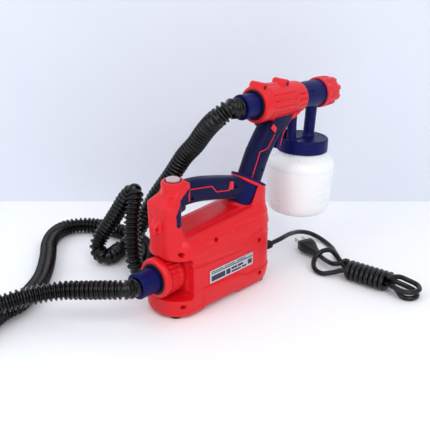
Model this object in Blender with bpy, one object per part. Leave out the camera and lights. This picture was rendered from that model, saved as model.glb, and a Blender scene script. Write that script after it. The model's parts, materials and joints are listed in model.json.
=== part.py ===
"""Turbine paint sprayer: a standing base unit with a carry handle, an air hose, and a spray gun parked in its holster.

Sizes are in millimetres and every mesh is written in metres. X runs along the base from the hose outlet to the mains
lead, Y is across it and Z is up. The part stands on Z = 0, and its origin is below the middle of the base, gun and
hose cuffs taken together. The gun's pieces are drawn in their own frame: x along the barrel, origin at the rear rim.
"""

import math

import bmesh
import bpy
from mathutils import Matrix, Vector

MM = 0.001
GAP = 0.3  # between solids that touch

# Base unit
BODY_LEFT, BODY_RIGHT, BODY_HALF = -88.0, 98.0, 40.0
BODY_TOP = 117.0
WALL = 3.0
FOOT_HEIGHT = 2.5
SCREW_PLACES = ((-75, 91), (-22, 97), (60, 70), (-78, 20), (62, 20))
NOTCH_X, NOTCH_LOW, NOTCH_HIGH = -64.0, 28.0, 82.0
COLUMN_HALF = 23.0
SHOULDER_Z = 157.0
POST_X, POST_R, POST_TOP = -60.0, 15.4, 178.5
DUCT_Z = 55.0
COLLAR_LEFT, COLLAR_R = -97.0, 26.5
CUFF_END, CUFF_R = -126.0, 17.0
HOSE_R = 12.3

# Holster and handle
HOLSTER_X, HOLSTER_Z, LEAN = 80.0, 145.0, math.radians(31.0)
CUP_A, CUP_B, CUP_WALL, CUP_DEPTH = 21.5, 21.0, 3.2, 52.0
FLANGE_A, FLANGE_B, FLANGE_T = 27.5, 24.0, 3.0
HANDLE_PATH = ((-60, 158), (-37, 157.5), (-14, 155), (14, 149), (43, 141.5), (60, 136.5))
HANDLE_H, HANDLE_T, CORE_H, CORE_T = 31.5, 28.0, 22.0, 19.0

# Spray gun, in its own frame
GUN_X, GUN_Z, NOSE_DOWN = 86.0, 246.0, math.radians(3.0)
SHELL_LONG, SHELL_R, SHELL_FRONT_R = 92.0, 25.0, 22.5
GRIP_A, GRIP_B = 16.3, 15.0
GRIP_PATH = ((45, -24), (34.9, -38), (15.5, -66), (-0.7, -101.2), (-22.3, -141.8))
BARREL_R, BARREL_WALL = 19.0, 2.6
RING_BACK, RING_FRONT, TIP = 137.0, 171.0, 184.0
LID_X, LID_R, LID_TOP, LID_LOW = 113.0, 37.0, -62.0, -81.0
JAR_R, JAR_LOW, JAR_WALL = 50.0, -173.0, 2.0
TRIGGER_PIVOT = (73.0, -27.0)
GUN_SCREWS = ((8, 24), (54, 23.5))

# Mains lead
LEAD_R, LEAD_Z = 3.5, 28.0

ORIGIN_X = (CUFF_END + GUN_X + TIP * math.cos(NOSE_DOWN)) / 2

# Route of the air hose's middle line, from the gun to the base, in the base's own X, Y, Z
HOSE_ROUTE = (
    (40, 1, 248.6), (30.5, 10.2, 238.5), (30.2, 25, 225.5), (33.4, 42.1, 208.9), (35.6, 60.3, 188.5),
    (36, 83, 166), (31, 105, 133), (20, 128, 97), (11, 141, 67), (4, 153, 40), (-6, 163, 21), (-18, 168.9, 12.9),
    (-39.8, 160.8, 12.9), (-51.8, 164, 14), (-51.2, 178.1, 19.1), (-46.1, 182.3, 31.1), (-38.5, 178.3, 44.8),
    (-32.5, 168.9, 60.9), (-26.5, 157.3, 81.4), (-20.1, 146.5, 102.1), (-15.2, 134.6, 114.2), (-19.9, 125.5, 107),
    (-30.6, 119, 87.3), (-39, 111.5, 64.4), (-42.9, 106.5, 44), (-46, 101, 27), (-42, 98, 15), (-26, 103, 12.9),
    (-5, 120, 12.9), (14, 145, 12.9), (22, 172, 12.9), (25, 200, 12.9), (20, 228, 12.9), (12, 257, 12.9),
    (-6, 282, 12.9), (-30, 291, 12.9), (-56, 283, 12.9), (-82, 260, 12.9), (-106.7, 226.8, 12.9),
    (-132.9, 194.6, 12.9), (-157.7, 169.5, 12.9), (-185.1, 150, 12.9), (-213.7, 134.3, 12.9),
    (-242.3, 129.4, 12.9), (-306, 104, 12.9), (-350, 124, 12.9), (-375, 166, 12.9), (-366, 211, 12.9),
    (-331, 229, 15), (-297, 212, 18), (-281, 174, 24), (-274, 137, 32), (-259, 106, 41), (-235, 93, 45.5),
    (-210, 84, 46), (-186.8, 68.4, 47.5), (-169.3, 44.1, 50.4), (-156.3, 20.4, 54.8), (-144.3, 3.4, 56.7),
)
LEAD_ROUTE = ((134, 0, 28), (156, 1, 27.6), (178, 6, 25), (199, 11, 20), (217, 13, 15), (231, 8, 10.5), (237, -5, 7),
              (235, -22, 4.6), (226, -42, 4), (210, -62, 4.6), (197, -76, 7), (189, -87, 10))
TAIL_ROUTE = ((180.4, -52, 10), (176, -60, 10.4), (172, -69, 11))

COLOURS = {
    "red_abs": ((0.78, 0.03, 0.03), 0.38, 0.0), "navy_rubber": ((0.02, 0.03, 0.16), 0.6, 0.0),
    "navy_abs": ((0.02, 0.03, 0.2), 0.4, 0.0), "black_rubber": ((0.015, 0.015, 0.015), 0.55, 0.0),
    "black_abs": ((0.02, 0.02, 0.02), 0.4, 0.0), "steel": ((0.6, 0.6, 0.6), 0.3, 1.0),
    "zinc_screw": ((0.4, 0.4, 0.4), 0.35, 1.0), "brass": ((0.7, 0.5, 0.2), 0.3, 1.0),
    "aluminium": ((0.7, 0.7, 0.72), 0.35, 1.0), "clear_cap": ((0.8, 0.62, 0.64), 0.15, 0.0),
    "natural_hdpe": ((0.85, 0.87, 0.88), 0.35, 0.0), "silver_label": ((0.7, 0.7, 0.7), 0.35, 0.3),
    "foam": ((0.1, 0.1, 0.1), 0.9, 0.0),
    "clear_pvc": ((0.8, 0.85, 0.85), 0.2, 0.0),
}


# ---- Shaping helpers ----

def material(slot):
    """The material of a slot, made on its first use."""
    found = bpy.data.materials.get(slot)
    if found:
        return found
    made = bpy.data.materials.new(slot)
    made.use_nodes = True
    shader = made.node_tree.nodes["Principled BSDF"]
    colour, roughness, metallic = COLOURS[slot]
    shader.inputs["Base Color"].default_value = (*colour, 1.0)
    shader.inputs["Roughness"].default_value = roughness
    shader.inputs["Metallic"].default_value = metallic
    return made


def solid(name, points, faces, slot, parent, turn=None):
    """An object from points in millimetres, closed and facing out."""
    mesh = bpy.data.meshes.new(name)
    move = turn or Matrix.Identity(4)
    mesh.from_pydata([(move @ Vector(p)) * MM for p in points], [], faces)
    work = bmesh.new()
    work.from_mesh(mesh)
    bmesh.ops.recalc_face_normals(work, faces=work.faces)
    work.to_mesh(mesh)
    work.free()
    mesh.materials.append(material(slot))
    made = bpy.data.objects.new(name, mesh)
    bpy.context.collection.objects.link(made)
    made.parent = parent
    mesh.shade_smooth()
    mesh.set_sharp_from_angle(angle=math.radians(35))
    return made


def loft(name, rings, slot, parent, turn=None):
    """A solid through rings of equal length, with flat ends."""
    count = len(rings[0])
    points = [p for ring in rings for p in ring]
    faces = [tuple(range(count)), tuple(range(len(points) - count, len(points)))]
    for level in range(len(rings) - 1):
        low = level * count
        for i in range(count):
            j = (i + 1) % count
            faces.append((low + i, low + j, low + count + j, low + count + i))
    return solid(name, points, faces, slot, parent, turn)


def rounded(left, right, half, radius, z, steps=4, y_mid=0.0, far=None):
    """A rounded rectangle at height z, half to each side of y_mid; far is the radius of its two right corners."""
    ring = []
    far = radius if far is None else far
    corners = ((right - far, half - far, far, 0), (left + radius, half - radius, radius, 90),
               (left + radius, radius - half, radius, 180), (right - far, far - half, far, 270))
    for cx, cy, size, start in corners:
        for i in range(steps + 1):
            a = math.radians(start + 90 * i / steps)
            ring.append((cx + size * math.cos(a), y_mid + cy + size * math.sin(a), z))
    return ring


def ellipse(a, b, z, count=24, mid=(0.0, 0.0)):
    """An ellipse at height z."""
    angles = (2 * math.pi * i / count for i in range(count))
    return [(mid[0] + a * math.cos(t), mid[1] + b * math.sin(t), z) for t in angles]


def turned(name, profile, slot, parent, turn=None, count=20):
    """A solid of revolution about z, from a closed outline of (radius, height)."""
    points, rows, faces = [], [], []
    for radius, height in profile:
        row = []
        for i in range(count if radius > 0 else 1):
            a = 2 * math.pi * i / count
            row.append(len(points))
            points.append((radius * math.cos(a), radius * math.sin(a), height))
        rows.append(row if radius > 0 else row * count)
    for first, second in zip(rows, rows[1:] + rows[:1]):
        for i in range(count):
            j = (i + 1) % count
            corners = list(dict.fromkeys((first[i], first[j], second[j], second[i])))
            if len(corners) > 2:
                faces.append(tuple(corners))
    return solid(name, points, faces, slot, parent, turn)


def tube_profile(inner, outer, low, high):
    """The outline of a plain tube."""
    return ((inner, low), (outer, low), (outer, high), (inner, high))


def block(name, low, high, slot, parent, turn=None):
    """A plain block between two corners."""
    rings = [[(x, y, z) for x, y in ((low[0], low[1]), (high[0], low[1]), (high[0], high[1]), (low[0], high[1]))]
             for z in (low[2], high[2])]
    return loft(name, rings, slot, parent, turn)


def prism(name, outline, low, high, slot, parent, turn=None):
    """An outline of (x, z) made solid from y = low to y = high."""
    rings = [[(x, y, z) for x, z in outline] for y in (low, high)]
    return loft(name, rings, slot, parent, turn)


def sweep(name, path, half_up, half_y, slot, parent, count=16, square=2.0):
    """A bar with a rounded section along a path of (x, z); square above 2 flattens its sides."""
    rings = []
    for i, (x, z) in enumerate(path):
        before, after = path[max(i - 1, 0)], path[min(i + 1, len(path) - 1)]
        along = Vector((after[0] - before[0], after[1] - before[1])).normalized()
        ring = []
        for k in range(count):
            a = 2 * math.pi * k / count
            u = math.copysign(abs(math.cos(a)) ** (2 / square), math.cos(a)) * half_up
            v = math.copysign(abs(math.sin(a)) ** (2 / square), math.sin(a)) * half_y
            ring.append((x - along.y * u, v, z + along.x * u))
        rings.append(ring)
    return loft(name, rings, slot, parent)


def carve(target, tools, operation="DIFFERENCE"):
    """Cuts the tools out of target, or joins them to it, and removes them."""
    for tool in tools:
        step = target.modifiers.new(operation.lower(), "BOOLEAN")
        step.operation = operation
        step.solver = "MANIFOLD"
        step.object = tool
        bpy.context.view_layer.update()
        shaped = bpy.data.meshes.new_from_object(target.evaluated_get(bpy.context.evaluated_depsgraph_get()))
        target.modifiers.clear()
        target.data = shaped
        bpy.data.objects.remove(tool)
    return target


def copy_of(source, name):
    """A separate object with its own copy of the mesh."""
    made = bpy.data.objects.new(name, source.data.copy())
    bpy.context.collection.objects.link(made)
    made.parent = source.parent
    return made


def halves(source, front_name, back_name, parent, size=600.0):
    """Splits a solid along y = 0 into a front and a back shell with a fine gap, and removes the source."""
    made = []
    for name, sign in ((front_name, 1), (back_name, -1)):
        part = copy_of(source, name)
        low, high = sorted((-sign * GAP / 2, sign * size))
        carve(part, [block("cutter", (-size, low, -size), (size, high, size), "red_abs", parent)])
        made.append(part)
    bpy.data.objects.remove(source)
    return made


def along_x(x, y=0.0, z=0.0):
    """Turns a shape drawn along z to run along +X from x."""
    return Matrix.Translation((x, y, z)) @ Matrix.Rotation(math.pi / 2, 4, "Y")


def along_y(x, y, z):
    """Turns a shape drawn along z to run along +Y from y."""
    return Matrix.Translation((x, y, z)) @ Matrix.Rotation(-math.pi / 2, 4, "X")


def leaned(x, z, lean):
    """Leans a shape drawn along z towards +X, about (x, z)."""
    return Matrix.Translation((x, 0, z)) @ Matrix.Rotation(lean, 4, "Y")


def empty(name, parent=None, matrix=None):
    """An empty that carries the pieces of one frame."""
    made = bpy.data.objects.new(name, None)
    bpy.context.collection.objects.link(made)
    made.parent = parent
    made.matrix_local = matrix or Matrix.Identity(4)
    return made


def smooth_points(route, step):
    """Points a step apart on the smooth curve through the route's own points."""
    knots = [Vector(p) for p in route]
    knots = [2 * knots[0] - knots[1]] + knots + [2 * knots[-1] - knots[-2]]
    fine = []
    for a, b, c, d in zip(knots, knots[1:], knots[2:], knots[3:]):
        for i in range(24):
            t = i / 24
            fine.append(0.5 * (2 * b + (c - a) * t + (2 * a - 5 * b + 4 * c - d) * t ** 2
                               + (3 * b - 3 * c + d - a) * t ** 3))
    fine.append(knots[-2])
    length = sum((q - p).length for p, q in zip(fine, fine[1:]))
    spacing = length / round(length / step)
    points, walked = [fine[0]], 0.0
    for p, q in zip(fine, fine[1:]):
        walked += (q - p).length
        if walked >= spacing * len(points) - 1e-6:
            points.append(q)
    return points


def cord_tube(name, points, radius, slot, parent, sides):
    """A plain round tube along points, with closed ends."""
    curve = bpy.data.curves.new(name, "CURVE")
    curve.dimensions = "3D"
    curve.bevel_depth = radius * MM
    curve.bevel_resolution = sides
    curve.render_resolution_u = 0
    curve.use_fill_caps = True
    line = curve.splines.new("POLY")
    line.points.add(len(points) - 1)
    for place, point in zip(line.points, points):
        place.co = (*(point * MM), 1.0)
    curve.materials.append(material(slot))
    made = bpy.data.objects.new(name, curve)
    bpy.context.collection.objects.link(made)
    made.parent = parent
    return made


# ---- Base unit ----

def body_rings():
    """The main body's outline from its underside to its crown, as (height, left, right, half-width)."""
    levels = ((FOOT_HEIGHT, -89, 93, 33), (8, -92.5, 96.5, 37), (26, -93, 98, 39.5), (60, -88, 98, 40),
              (78, -88, 98, 40), (94, -87, 98, 36.5), (104, -86, 98, 31.5), (BODY_TOP - 4, -84, 97, 22),
              (BODY_TOP, -80, 94, 12))
    return [rounded(left, right, half, min(half - 2, 32), z, 6) for z, left, right, half in levels]


def cup_solid(name, parent, grow, depth, rise, slot="navy_abs"):
    """The holster cup's outer form, grown by a clearance, from depth below its mouth to rise above it."""
    rings = [ellipse(CUP_A + grow, CUP_B + grow, z) for z in (-depth, rise)]
    return loft(name, rings, slot, parent, leaned(HOLSTER_X, HOLSTER_Z, LEAN))


def base_shells(root):
    """The two red clamshells with column, post, lug and holster side."""
    outer = loft("outer", body_rings(), "red_abs", root)
    column = loft("column", [rounded(BODY_LEFT, -46, 31, 24, 88, far=8), rounded(BODY_LEFT, -50, 25, 22, 104, far=8),
                             rounded(BODY_LEFT, -53, COLUMN_HALF, 20, 148, far=8),
                             rounded(BODY_LEFT + 3, -53, 18, 14, SHOULDER_Z, far=6)], "red_abs", root)
    post = turned("post", ((0, 140), (POST_R, 140), (POST_R, POST_TOP - 2), (POST_R - 2, POST_TOP), (0, POST_TOP)),
                  "red_abs", root, Matrix.Translation((POST_X, 0, 0)))
    gusset = prism("gusset", ((-72, 148), (-54, 174), (-47.5, 173), (-47.5, 141), (-58, 128), (-66, 112)), -13, 13,
                   "red_abs", root)
    lug = prism("lug", ((-98, 117), (-84, 117), (-84, 132), (-91, 132), (-98, 125)), -5, 5, "red_abs", root)
    side = loft("side", [rounded(50, 98, 31, 8, 96, far=24), rounded(52, 99, 25, 8, 112, far=21),
                         rounded(54, 100, 23, 8, 132, far=20), rounded(54, 100, 22.5, 8, 160, far=20)], "red_abs",
                root)
    over = block("over", (-200, -60, -3.2), (200, 60, 90), "red_abs", root, leaned(HOLSTER_X, HOLSTER_Z, LEAN))
    left_of_cup = block("left", (-200, -60, -38), (-2, 60, 90), "red_abs", root, leaned(HOLSTER_X, HOLSTER_Z, LEAN))
    carve(side, [over, left_of_cup])
    core = sweep("core", HANDLE_PATH, CORE_H / 2, CORE_T / 2, "red_abs", root)
    carve(outer, [column, post, gusset, lug, side, core], "UNION")

    room = loft("room", [rounded(-60, 94.5, 33, 24, 11), rounded(-60, 94.5, 36.2, 30, 26),
                         rounded(-60, 94.5, 36.8, 30, 76), rounded(-60, 94.5, 33, 28, 93),
                         rounded(-60, 94, 27, 22, 104), rounded(-60, 92, 17, 14, BODY_TOP - 6)], "red_abs", root)
    upper = loft("upper", [rounded(-84.5, -52, 30, 21, 85, far=6), rounded(-84.5, -56, 20, 17, 104, far=6),
                           rounded(-84.5, -56.5, 19.5, 17, 147, far=6), rounded(-81, -56.5, 15, 11, 153.6, far=4)],
                 "red_abs", root)
    toe = loft("toe", [rounded(-88, -54, 32, 24, 11, far=6), rounded(-89.5, -54, 35, 27, 26, far=6)], "red_abs", root)
    carve(room, [upper, toe], "UNION")
    carve(room, [turned(f"pillar{i}", ((0, -60), (5, -60), (5, 60), (0, 60)), "red_abs", root, along_y(x, 0, z), 14)
                 for i, (x, z) in enumerate(SCREW_PLACES)])
    grille = loft("intake_grille", body_rings(), "red_abs", root)
    carve(grille, [block("window", (90, -24.7, 40.3), (110, 24.7, 83.7), "red_abs", root)], "INTERSECT")
    carve(grille, [copy_of(room, "grille_room")] + [block(f"slot{i}", (80, -21, 44.5 + 7.4 * i), (110, 21, 48 + 7.4 * i),
                                                          "red_abs", root) for i in range(5)])
    notch = block("notch", (-120, -60, NOTCH_LOW), (NOTCH_X, 60, NOTCH_HIGH), "red_abs", root)
    duct_hole = turned("duct_hole", ((0, 0), (21, 0), (21, 20), (0, 20)), "red_abs", root, along_x(-70, 0, DUCT_Z))
    arch = block("arch", (-44, -60, -5), (24, 60, 8), "red_abs", root)
    switch_hole = turned("switch_hole", ((0, 130), (11.3, 130), (11.3, 190), (0, 190)), "red_abs", root,
                         Matrix.Translation((POST_X, 0, 0)))
    lug_hole = turned("lug_hole", ((0, -9), (2.2, -9), (2.2, 9), (0, 9)), "red_abs", root, along_y(-93.5, 0, 123.5))
    lead_hole = turned("lead_hole", ((0, 80), (5.4, 80), (5.4, 120), (0, 120)), "red_abs", root,
                       along_x(0, 0, LEAD_Z))
    vent_hole = block("vent_hole", (90, -25, 40), (110, 25, 84), "red_abs", root)
    label_seat = block("label_seat", (-36.5, -41, 39.5), (46.5, -BODY_HALF + 0.8, 58.5), "red_abs", root)
    cup = cup_solid("cup_room", root, GAP, CUP_DEPTH + GAP, 30)
    carve(outer, [notch, room, duct_hole, arch, switch_hole, lug_hole, lead_hole, vent_hole, label_seat, cup])
    carve(outer, [turned(f"sink{i}", ((0, -60), (3.4, -60), (3.4, -10), (1.8, -10), (1.8, 12), (0, 12)), "red_abs", root,
                         along_y(x, 0, z), 12) for i, (x, z) in enumerate(SCREW_PLACES)])
    halves(outer, "base_shell_front", "base_shell_back", root)


def base_trim(root):
    """Handle grip halves, holster cup, collar, label, vents and feet."""
    grip = sweep("grip", HANDLE_PATH, HANDLE_H / 2, HANDLE_T / 2, "navy_rubber", root, square=2.3)
    core = sweep("core", HANDLE_PATH, CORE_H / 2 + 0.6, CORE_T / 2 + 0.6, "navy_rubber", root)
    ends = [block("left_end", (-90, -40, 100), (-47.2, 40, 200), "navy_rubber", root),
            turned("post_room", ((0, 100), (POST_R + GAP, 100), (POST_R + GAP, 200), (0, 200)), "navy_rubber", root,
                   Matrix.Translation((POST_X, 0, 0))),
            cup_solid("cup_room", root, GAP, CUP_DEPTH, 30)]
    right_end = block("right_end", (-3, -60, -120), (120, 60, 90), "navy_rubber", root,
                      leaned(HOLSTER_X, HOLSTER_Z, LEAN))
    carve(grip, [core] + ends + [right_end])
    halves(grip, "handle_grip_front", "handle_grip_back", root)

    cup = cup_solid("holster_cup", root, 0, CUP_DEPTH, 0)
    flange = loft("flange", [ellipse(FLANGE_A, FLANGE_B, z) for z in (-FLANGE_T, 0)], "navy_abs", root,
                  leaned(HOLSTER_X, HOLSTER_Z, LEAN))
    hollow = loft("hollow", [rounded(-GRIP_A - 1, GRIP_A + 1, GRIP_B + 1, 10, z) for z in (CUP_WALL - CUP_DEPTH, 20)],
                  "navy_abs", root, leaned(HOLSTER_X, HOLSTER_Z, LEAN))
    carve(carve(cup, [flange], "UNION"), [hollow])

    turned("outlet_collar", ((CUFF_R + GAP, 0), (COLLAR_R - 2, 0), (COLLAR_R, 2.5), (COLLAR_R - 1.5, 32.7),
                             (15, 32.7), (15, 27), (CUFF_R + GAP, 27)), "red_abs", root,
           along_x(COLLAR_LEFT, 0, DUCT_Z))
    turned("base_hose_cuff", ((12, 0), (CUFF_R - 1, 0), (CUFF_R, 1), (CUFF_R, 55.5), (12, 55.5)), "navy_abs", root,
           along_x(CUFF_END, 0, DUCT_Z))
    block("label_plate", (-36, -BODY_HALF - 0.2, 40), (46, -BODY_HALF + 0.5, 58), "silver_label", root)

    block("intake_filter", (86.5, -15.5, 41), (92.2, 15.5, 83), "foam", root)
    for i, (x, y) in enumerate(((-76, -18), (-76, 18), (74, -24), (74, 24))):
        turned(f"rubber_foot_{i + 1}", ((0, 0), (7.5, 0), (8.5, FOOT_HEIGHT - GAP), (0, FOOT_HEIGHT - GAP)),
               "black_rubber", root, Matrix.Translation((x, y, 0)), 16)
    for i, (x, z) in enumerate(SCREW_PLACES):
        turned(f"shell_screw_{i + 1}", ((0, -12.8), (3, -12.8), (3, -10 - GAP), (1.5, -10 - GAP), (1.5, 11), (0, 11)),
               "zinc_screw", root, along_y(x, 0, z), 12)


def switch_parts(root):
    """The push button on the post, its spring and the switch below."""
    seat = Matrix.Translation((POST_X, 0, 0))
    turned("button_bezel", tube_profile(9.7, 11, 166, POST_TOP - 0.8), "black_abs", root, seat, 24)
    turned("power_button", ((0, 173), (9.2, 173), (9.2, 180), (8.4, 181.6), (0, 182.2)), "clear_cap", root, seat, 24)
    turned("button_spring", tube_profile(4.4, 5.4, 166.4, 172.7), "steel", root, seat, 16)
    turned("switch_body", ((0, 140), (10.6, 140), (10.6, 165.6), (3.6, 165.6), (3.6, 170), (0, 170)), "black_abs", root,
           seat, 20)


def motor_parts(root):
    """The air turbine and its motor, in line with the outlet."""
    turned("outlet_duct", ((14, 0), (20.5, 0), (20.5, 8), (30, 40), (30, 44), (27.6, 44), (27.6, 40), (18, 8),
                           (14, 8)), "black_abs", root, along_x(-63.7, 0, DUCT_Z))
    turned("turbine_housing", ((27.4, 0.4), (34, 0.4), (34, 24), (16, 24), (16, 21.5), (31.5, 21.5), (31.5, 3),
                               (27.4, 3)), "aluminium", root, along_x(-19.6, 0, DUCT_Z))
    impeller = turned("impeller", ((0, 0), (29, 0), (29, 2), (9, 4), (9, 13), (0, 13)), "aluminium", root,
                      along_x(-15, 0, DUCT_Z))
    for i in range(9):
        blade = block(f"blade{i}", (8, -0.8, 1), (28.4, 0.8, 10), "aluminium", root,
                      along_x(-15, 0, DUCT_Z) @ Matrix.Rotation(2 * math.pi * i / 9, 4, "Z"))
        carve(impeller, [blade], "UNION")
    carve(impeller, [turned("shaft_room", ((0, -5), (3.3, -5), (3.3, 30), (0, 30)), "steel", root,
                            along_x(-15, 0, DUCT_Z), 16)])
    turned("motor_shaft", ((0, 0), (3, 0), (3, 72), (0, 72)), "steel", root, along_x(-17, 0, DUCT_Z), 16)
    turned("motor_body", ((3.6, 0), (14, 0), (14, 3), (28, 5), (28, 42), (12, 46), (3.6, 46)), "steel", root,
           along_x(6, 0, DUCT_Z))
    for i, x in enumerate((13, 36)):
        turned(f"motor_mount_{'front' if i == 0 else 'rear'}", tube_profile(28.3, 34, 0, 8), "black_rubber", root,
               along_x(x, 0, DUCT_Z))


def lead_parts(root):
    """Strain relief, mains lead, hank, plug and its pins."""
    turned("strain_relief", ((LEAD_R + GAP, 0), (7.5, 0), (7.5, 3), (5, 3.4), (5, 8), (6, 8.6), (5.2, 30),
                                      (6.4, 31), (6.2, 38.6), (LEAD_R + GAP, 38.6)), "black_rubber", root,
           along_x(91, 0, LEAD_Z), 16)
    lead = [Vector((91.3 + 5 * i, 0, LEAD_Z)) for i in range(8)] + smooth_points(LEAD_ROUTE, 14)
    cord_tube("power_lead", lead, LEAD_R, "black_rubber", root, 2)
    run = Vector((20.7, -152.6, 0))
    middle = Matrix.Translation((171.5, -139.5, 0)) @ Matrix.Rotation(math.atan2(run.y, run.x), 4, "Z")
    loft("lead_hank", [rounded(-72, 76, half, half - 0.5, z, 8) for half, z in
                       ((9, 0.2), (17, 3), (19, 10), (17, 19), (9, 25))], "black_rubber", root, middle)
    tail = smooth_points(TAIL_ROUTE, 7)
    cord_tube("lead_tail", tail, LEAD_R, "black_rubber", root, 2)
    plug_turn = (Matrix.Translation((180.6, -51.2, 10)) @ Matrix.Rotation(math.radians(72), 4, "Z")
                 @ Matrix.Rotation(math.radians(-4), 4, "Y"))
    flat = plug_turn @ Matrix.Rotation(math.pi / 2, 4, "Y")
    loft("plug_body", [rounded(-4.2, 4.2, 4.4, 3.5, 0, 4), rounded(-5, 5, 6, 4.2, 10, 4),
                       rounded(-7, 7, 11.5, 5, 26, 4), rounded(-7.6, 7.6, 12.4, 5, 34, 4),
                       rounded(-7.2, 7.2, 12, 5, 38, 4)], "black_abs", root, flat)
    for i, y in enumerate((-6.35, 6.35)):
        loft(f"plug_pin_{i + 1}", [rounded(-3.2, 3.2, 0.8, 0.6, z, 2, y) for z in (38.3, 55)], "brass", root, flat)


# ---- Spray gun ----

def trigger_swing(gun):
    """The room the trigger needs in the front of the grip."""
    outline = ((63, -24), (48.2, -37.8), (36.8, -57.2), (36.4, -66), (44, -72), (80, -60), (80, -24))
    return prism("swing", outline, -7.6, 7.6, "red_abs", gun)


def gun_shells(gun):
    """Red barrel shells with bosses and the hollow grip core, and the navy grip halves."""
    barrel = turned("barrel_shell", ((0, 0), (SHELL_R - 1.5, 0), (SHELL_R, 2), (SHELL_R, 14), (SHELL_R - 1, 40),
                                     (SHELL_FRONT_R, 82), (SHELL_FRONT_R - 2, SHELL_LONG), (0, SHELL_LONG)),
                    "red_abs", gun, along_x(0))
    bosses = [turned(f"boss{i}", ((0, -12), (4.6, -12), (4.6, 12), (0, 12)), "red_abs", gun, along_y(x, 0, z), 16)
              for i, (x, z) in enumerate(GUN_SCREWS)]
    core = sweep("core", GRIP_PATH[:-1] + ((-17.6, -133),), 10.5, 9.5, "red_abs", gun, square=2.3)
    neck = loft("neck", [rounded(24, 66, 14, 8, z) for z in (-26, -14)], "red_abs", gun)
    carve(barrel, bosses + [core, neck], "UNION")
    bore = turned("bore", ((0, -1), (CUFF_R + GAP, -1), (CUFF_R + GAP, 13), (16, 13), (16, 62), (BARREL_R + GAP, 62),
                           (BARREL_R + GAP, SHELL_LONG + 1), (0, SHELL_LONG + 1)), "red_abs", gun, along_x(0))
    core_room = sweep("core_room", GRIP_PATH[1:-1] + ((-13, -124),), 8, 7, "red_abs", gun)
    trigger_room = block("trigger_room", (63, -8.2, -40), (94, 8.2, -15.5), "red_abs", gun)
    swing = trigger_swing(gun)
    screws = [turned(f"sink{i}", ((0, -20), (2.8, -20), (2.8, -8), (1.5, -8), (1.5, 7), (0, 7)), "red_abs", gun,
                     along_y(x, 0, z), 12) for i, (x, z) in enumerate(GUN_SCREWS)]
    carve(barrel, [bore, core_room, trigger_room, swing] + screws)
    halves(barrel, "gun_shell_left", "gun_shell_right", gun)

    grip = sweep("grip", GRIP_PATH, GRIP_A, GRIP_B, "navy_rubber", gun, square=2.4)
    inner = sweep("inner", ((60, -3),) + GRIP_PATH[1:-1] + ((-17.8, -133.4),), 10.5 + GAP, 9.5 + GAP, "navy_rubber",
                  gun, square=2.3)
    above = block("above", (-10, -40, -30), (100, 40, 20), "navy_rubber", gun)
    carve(grip, [inner, above, trigger_swing(gun)])
    halves(grip, "grip_cover_left", "grip_cover_right", gun)
    turned("gun_hose_cuff", ((12, 0), (CUFF_R - 1, 0), (CUFF_R, 1), (CUFF_R, 38.6), (12, 38.6)), "navy_abs", gun,
           along_x(-26))
    for i, (x, z) in enumerate(GUN_SCREWS):
        turned(f"gun_screw_{i + 1}", ((0, -10.6), (2.5, -10.6), (2.5, -8 - GAP), (1.2, -8 - GAP), (1.2, 6), (0, 6)),
               "zinc_screw", gun, along_y(x, 0, z), 12)


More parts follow.
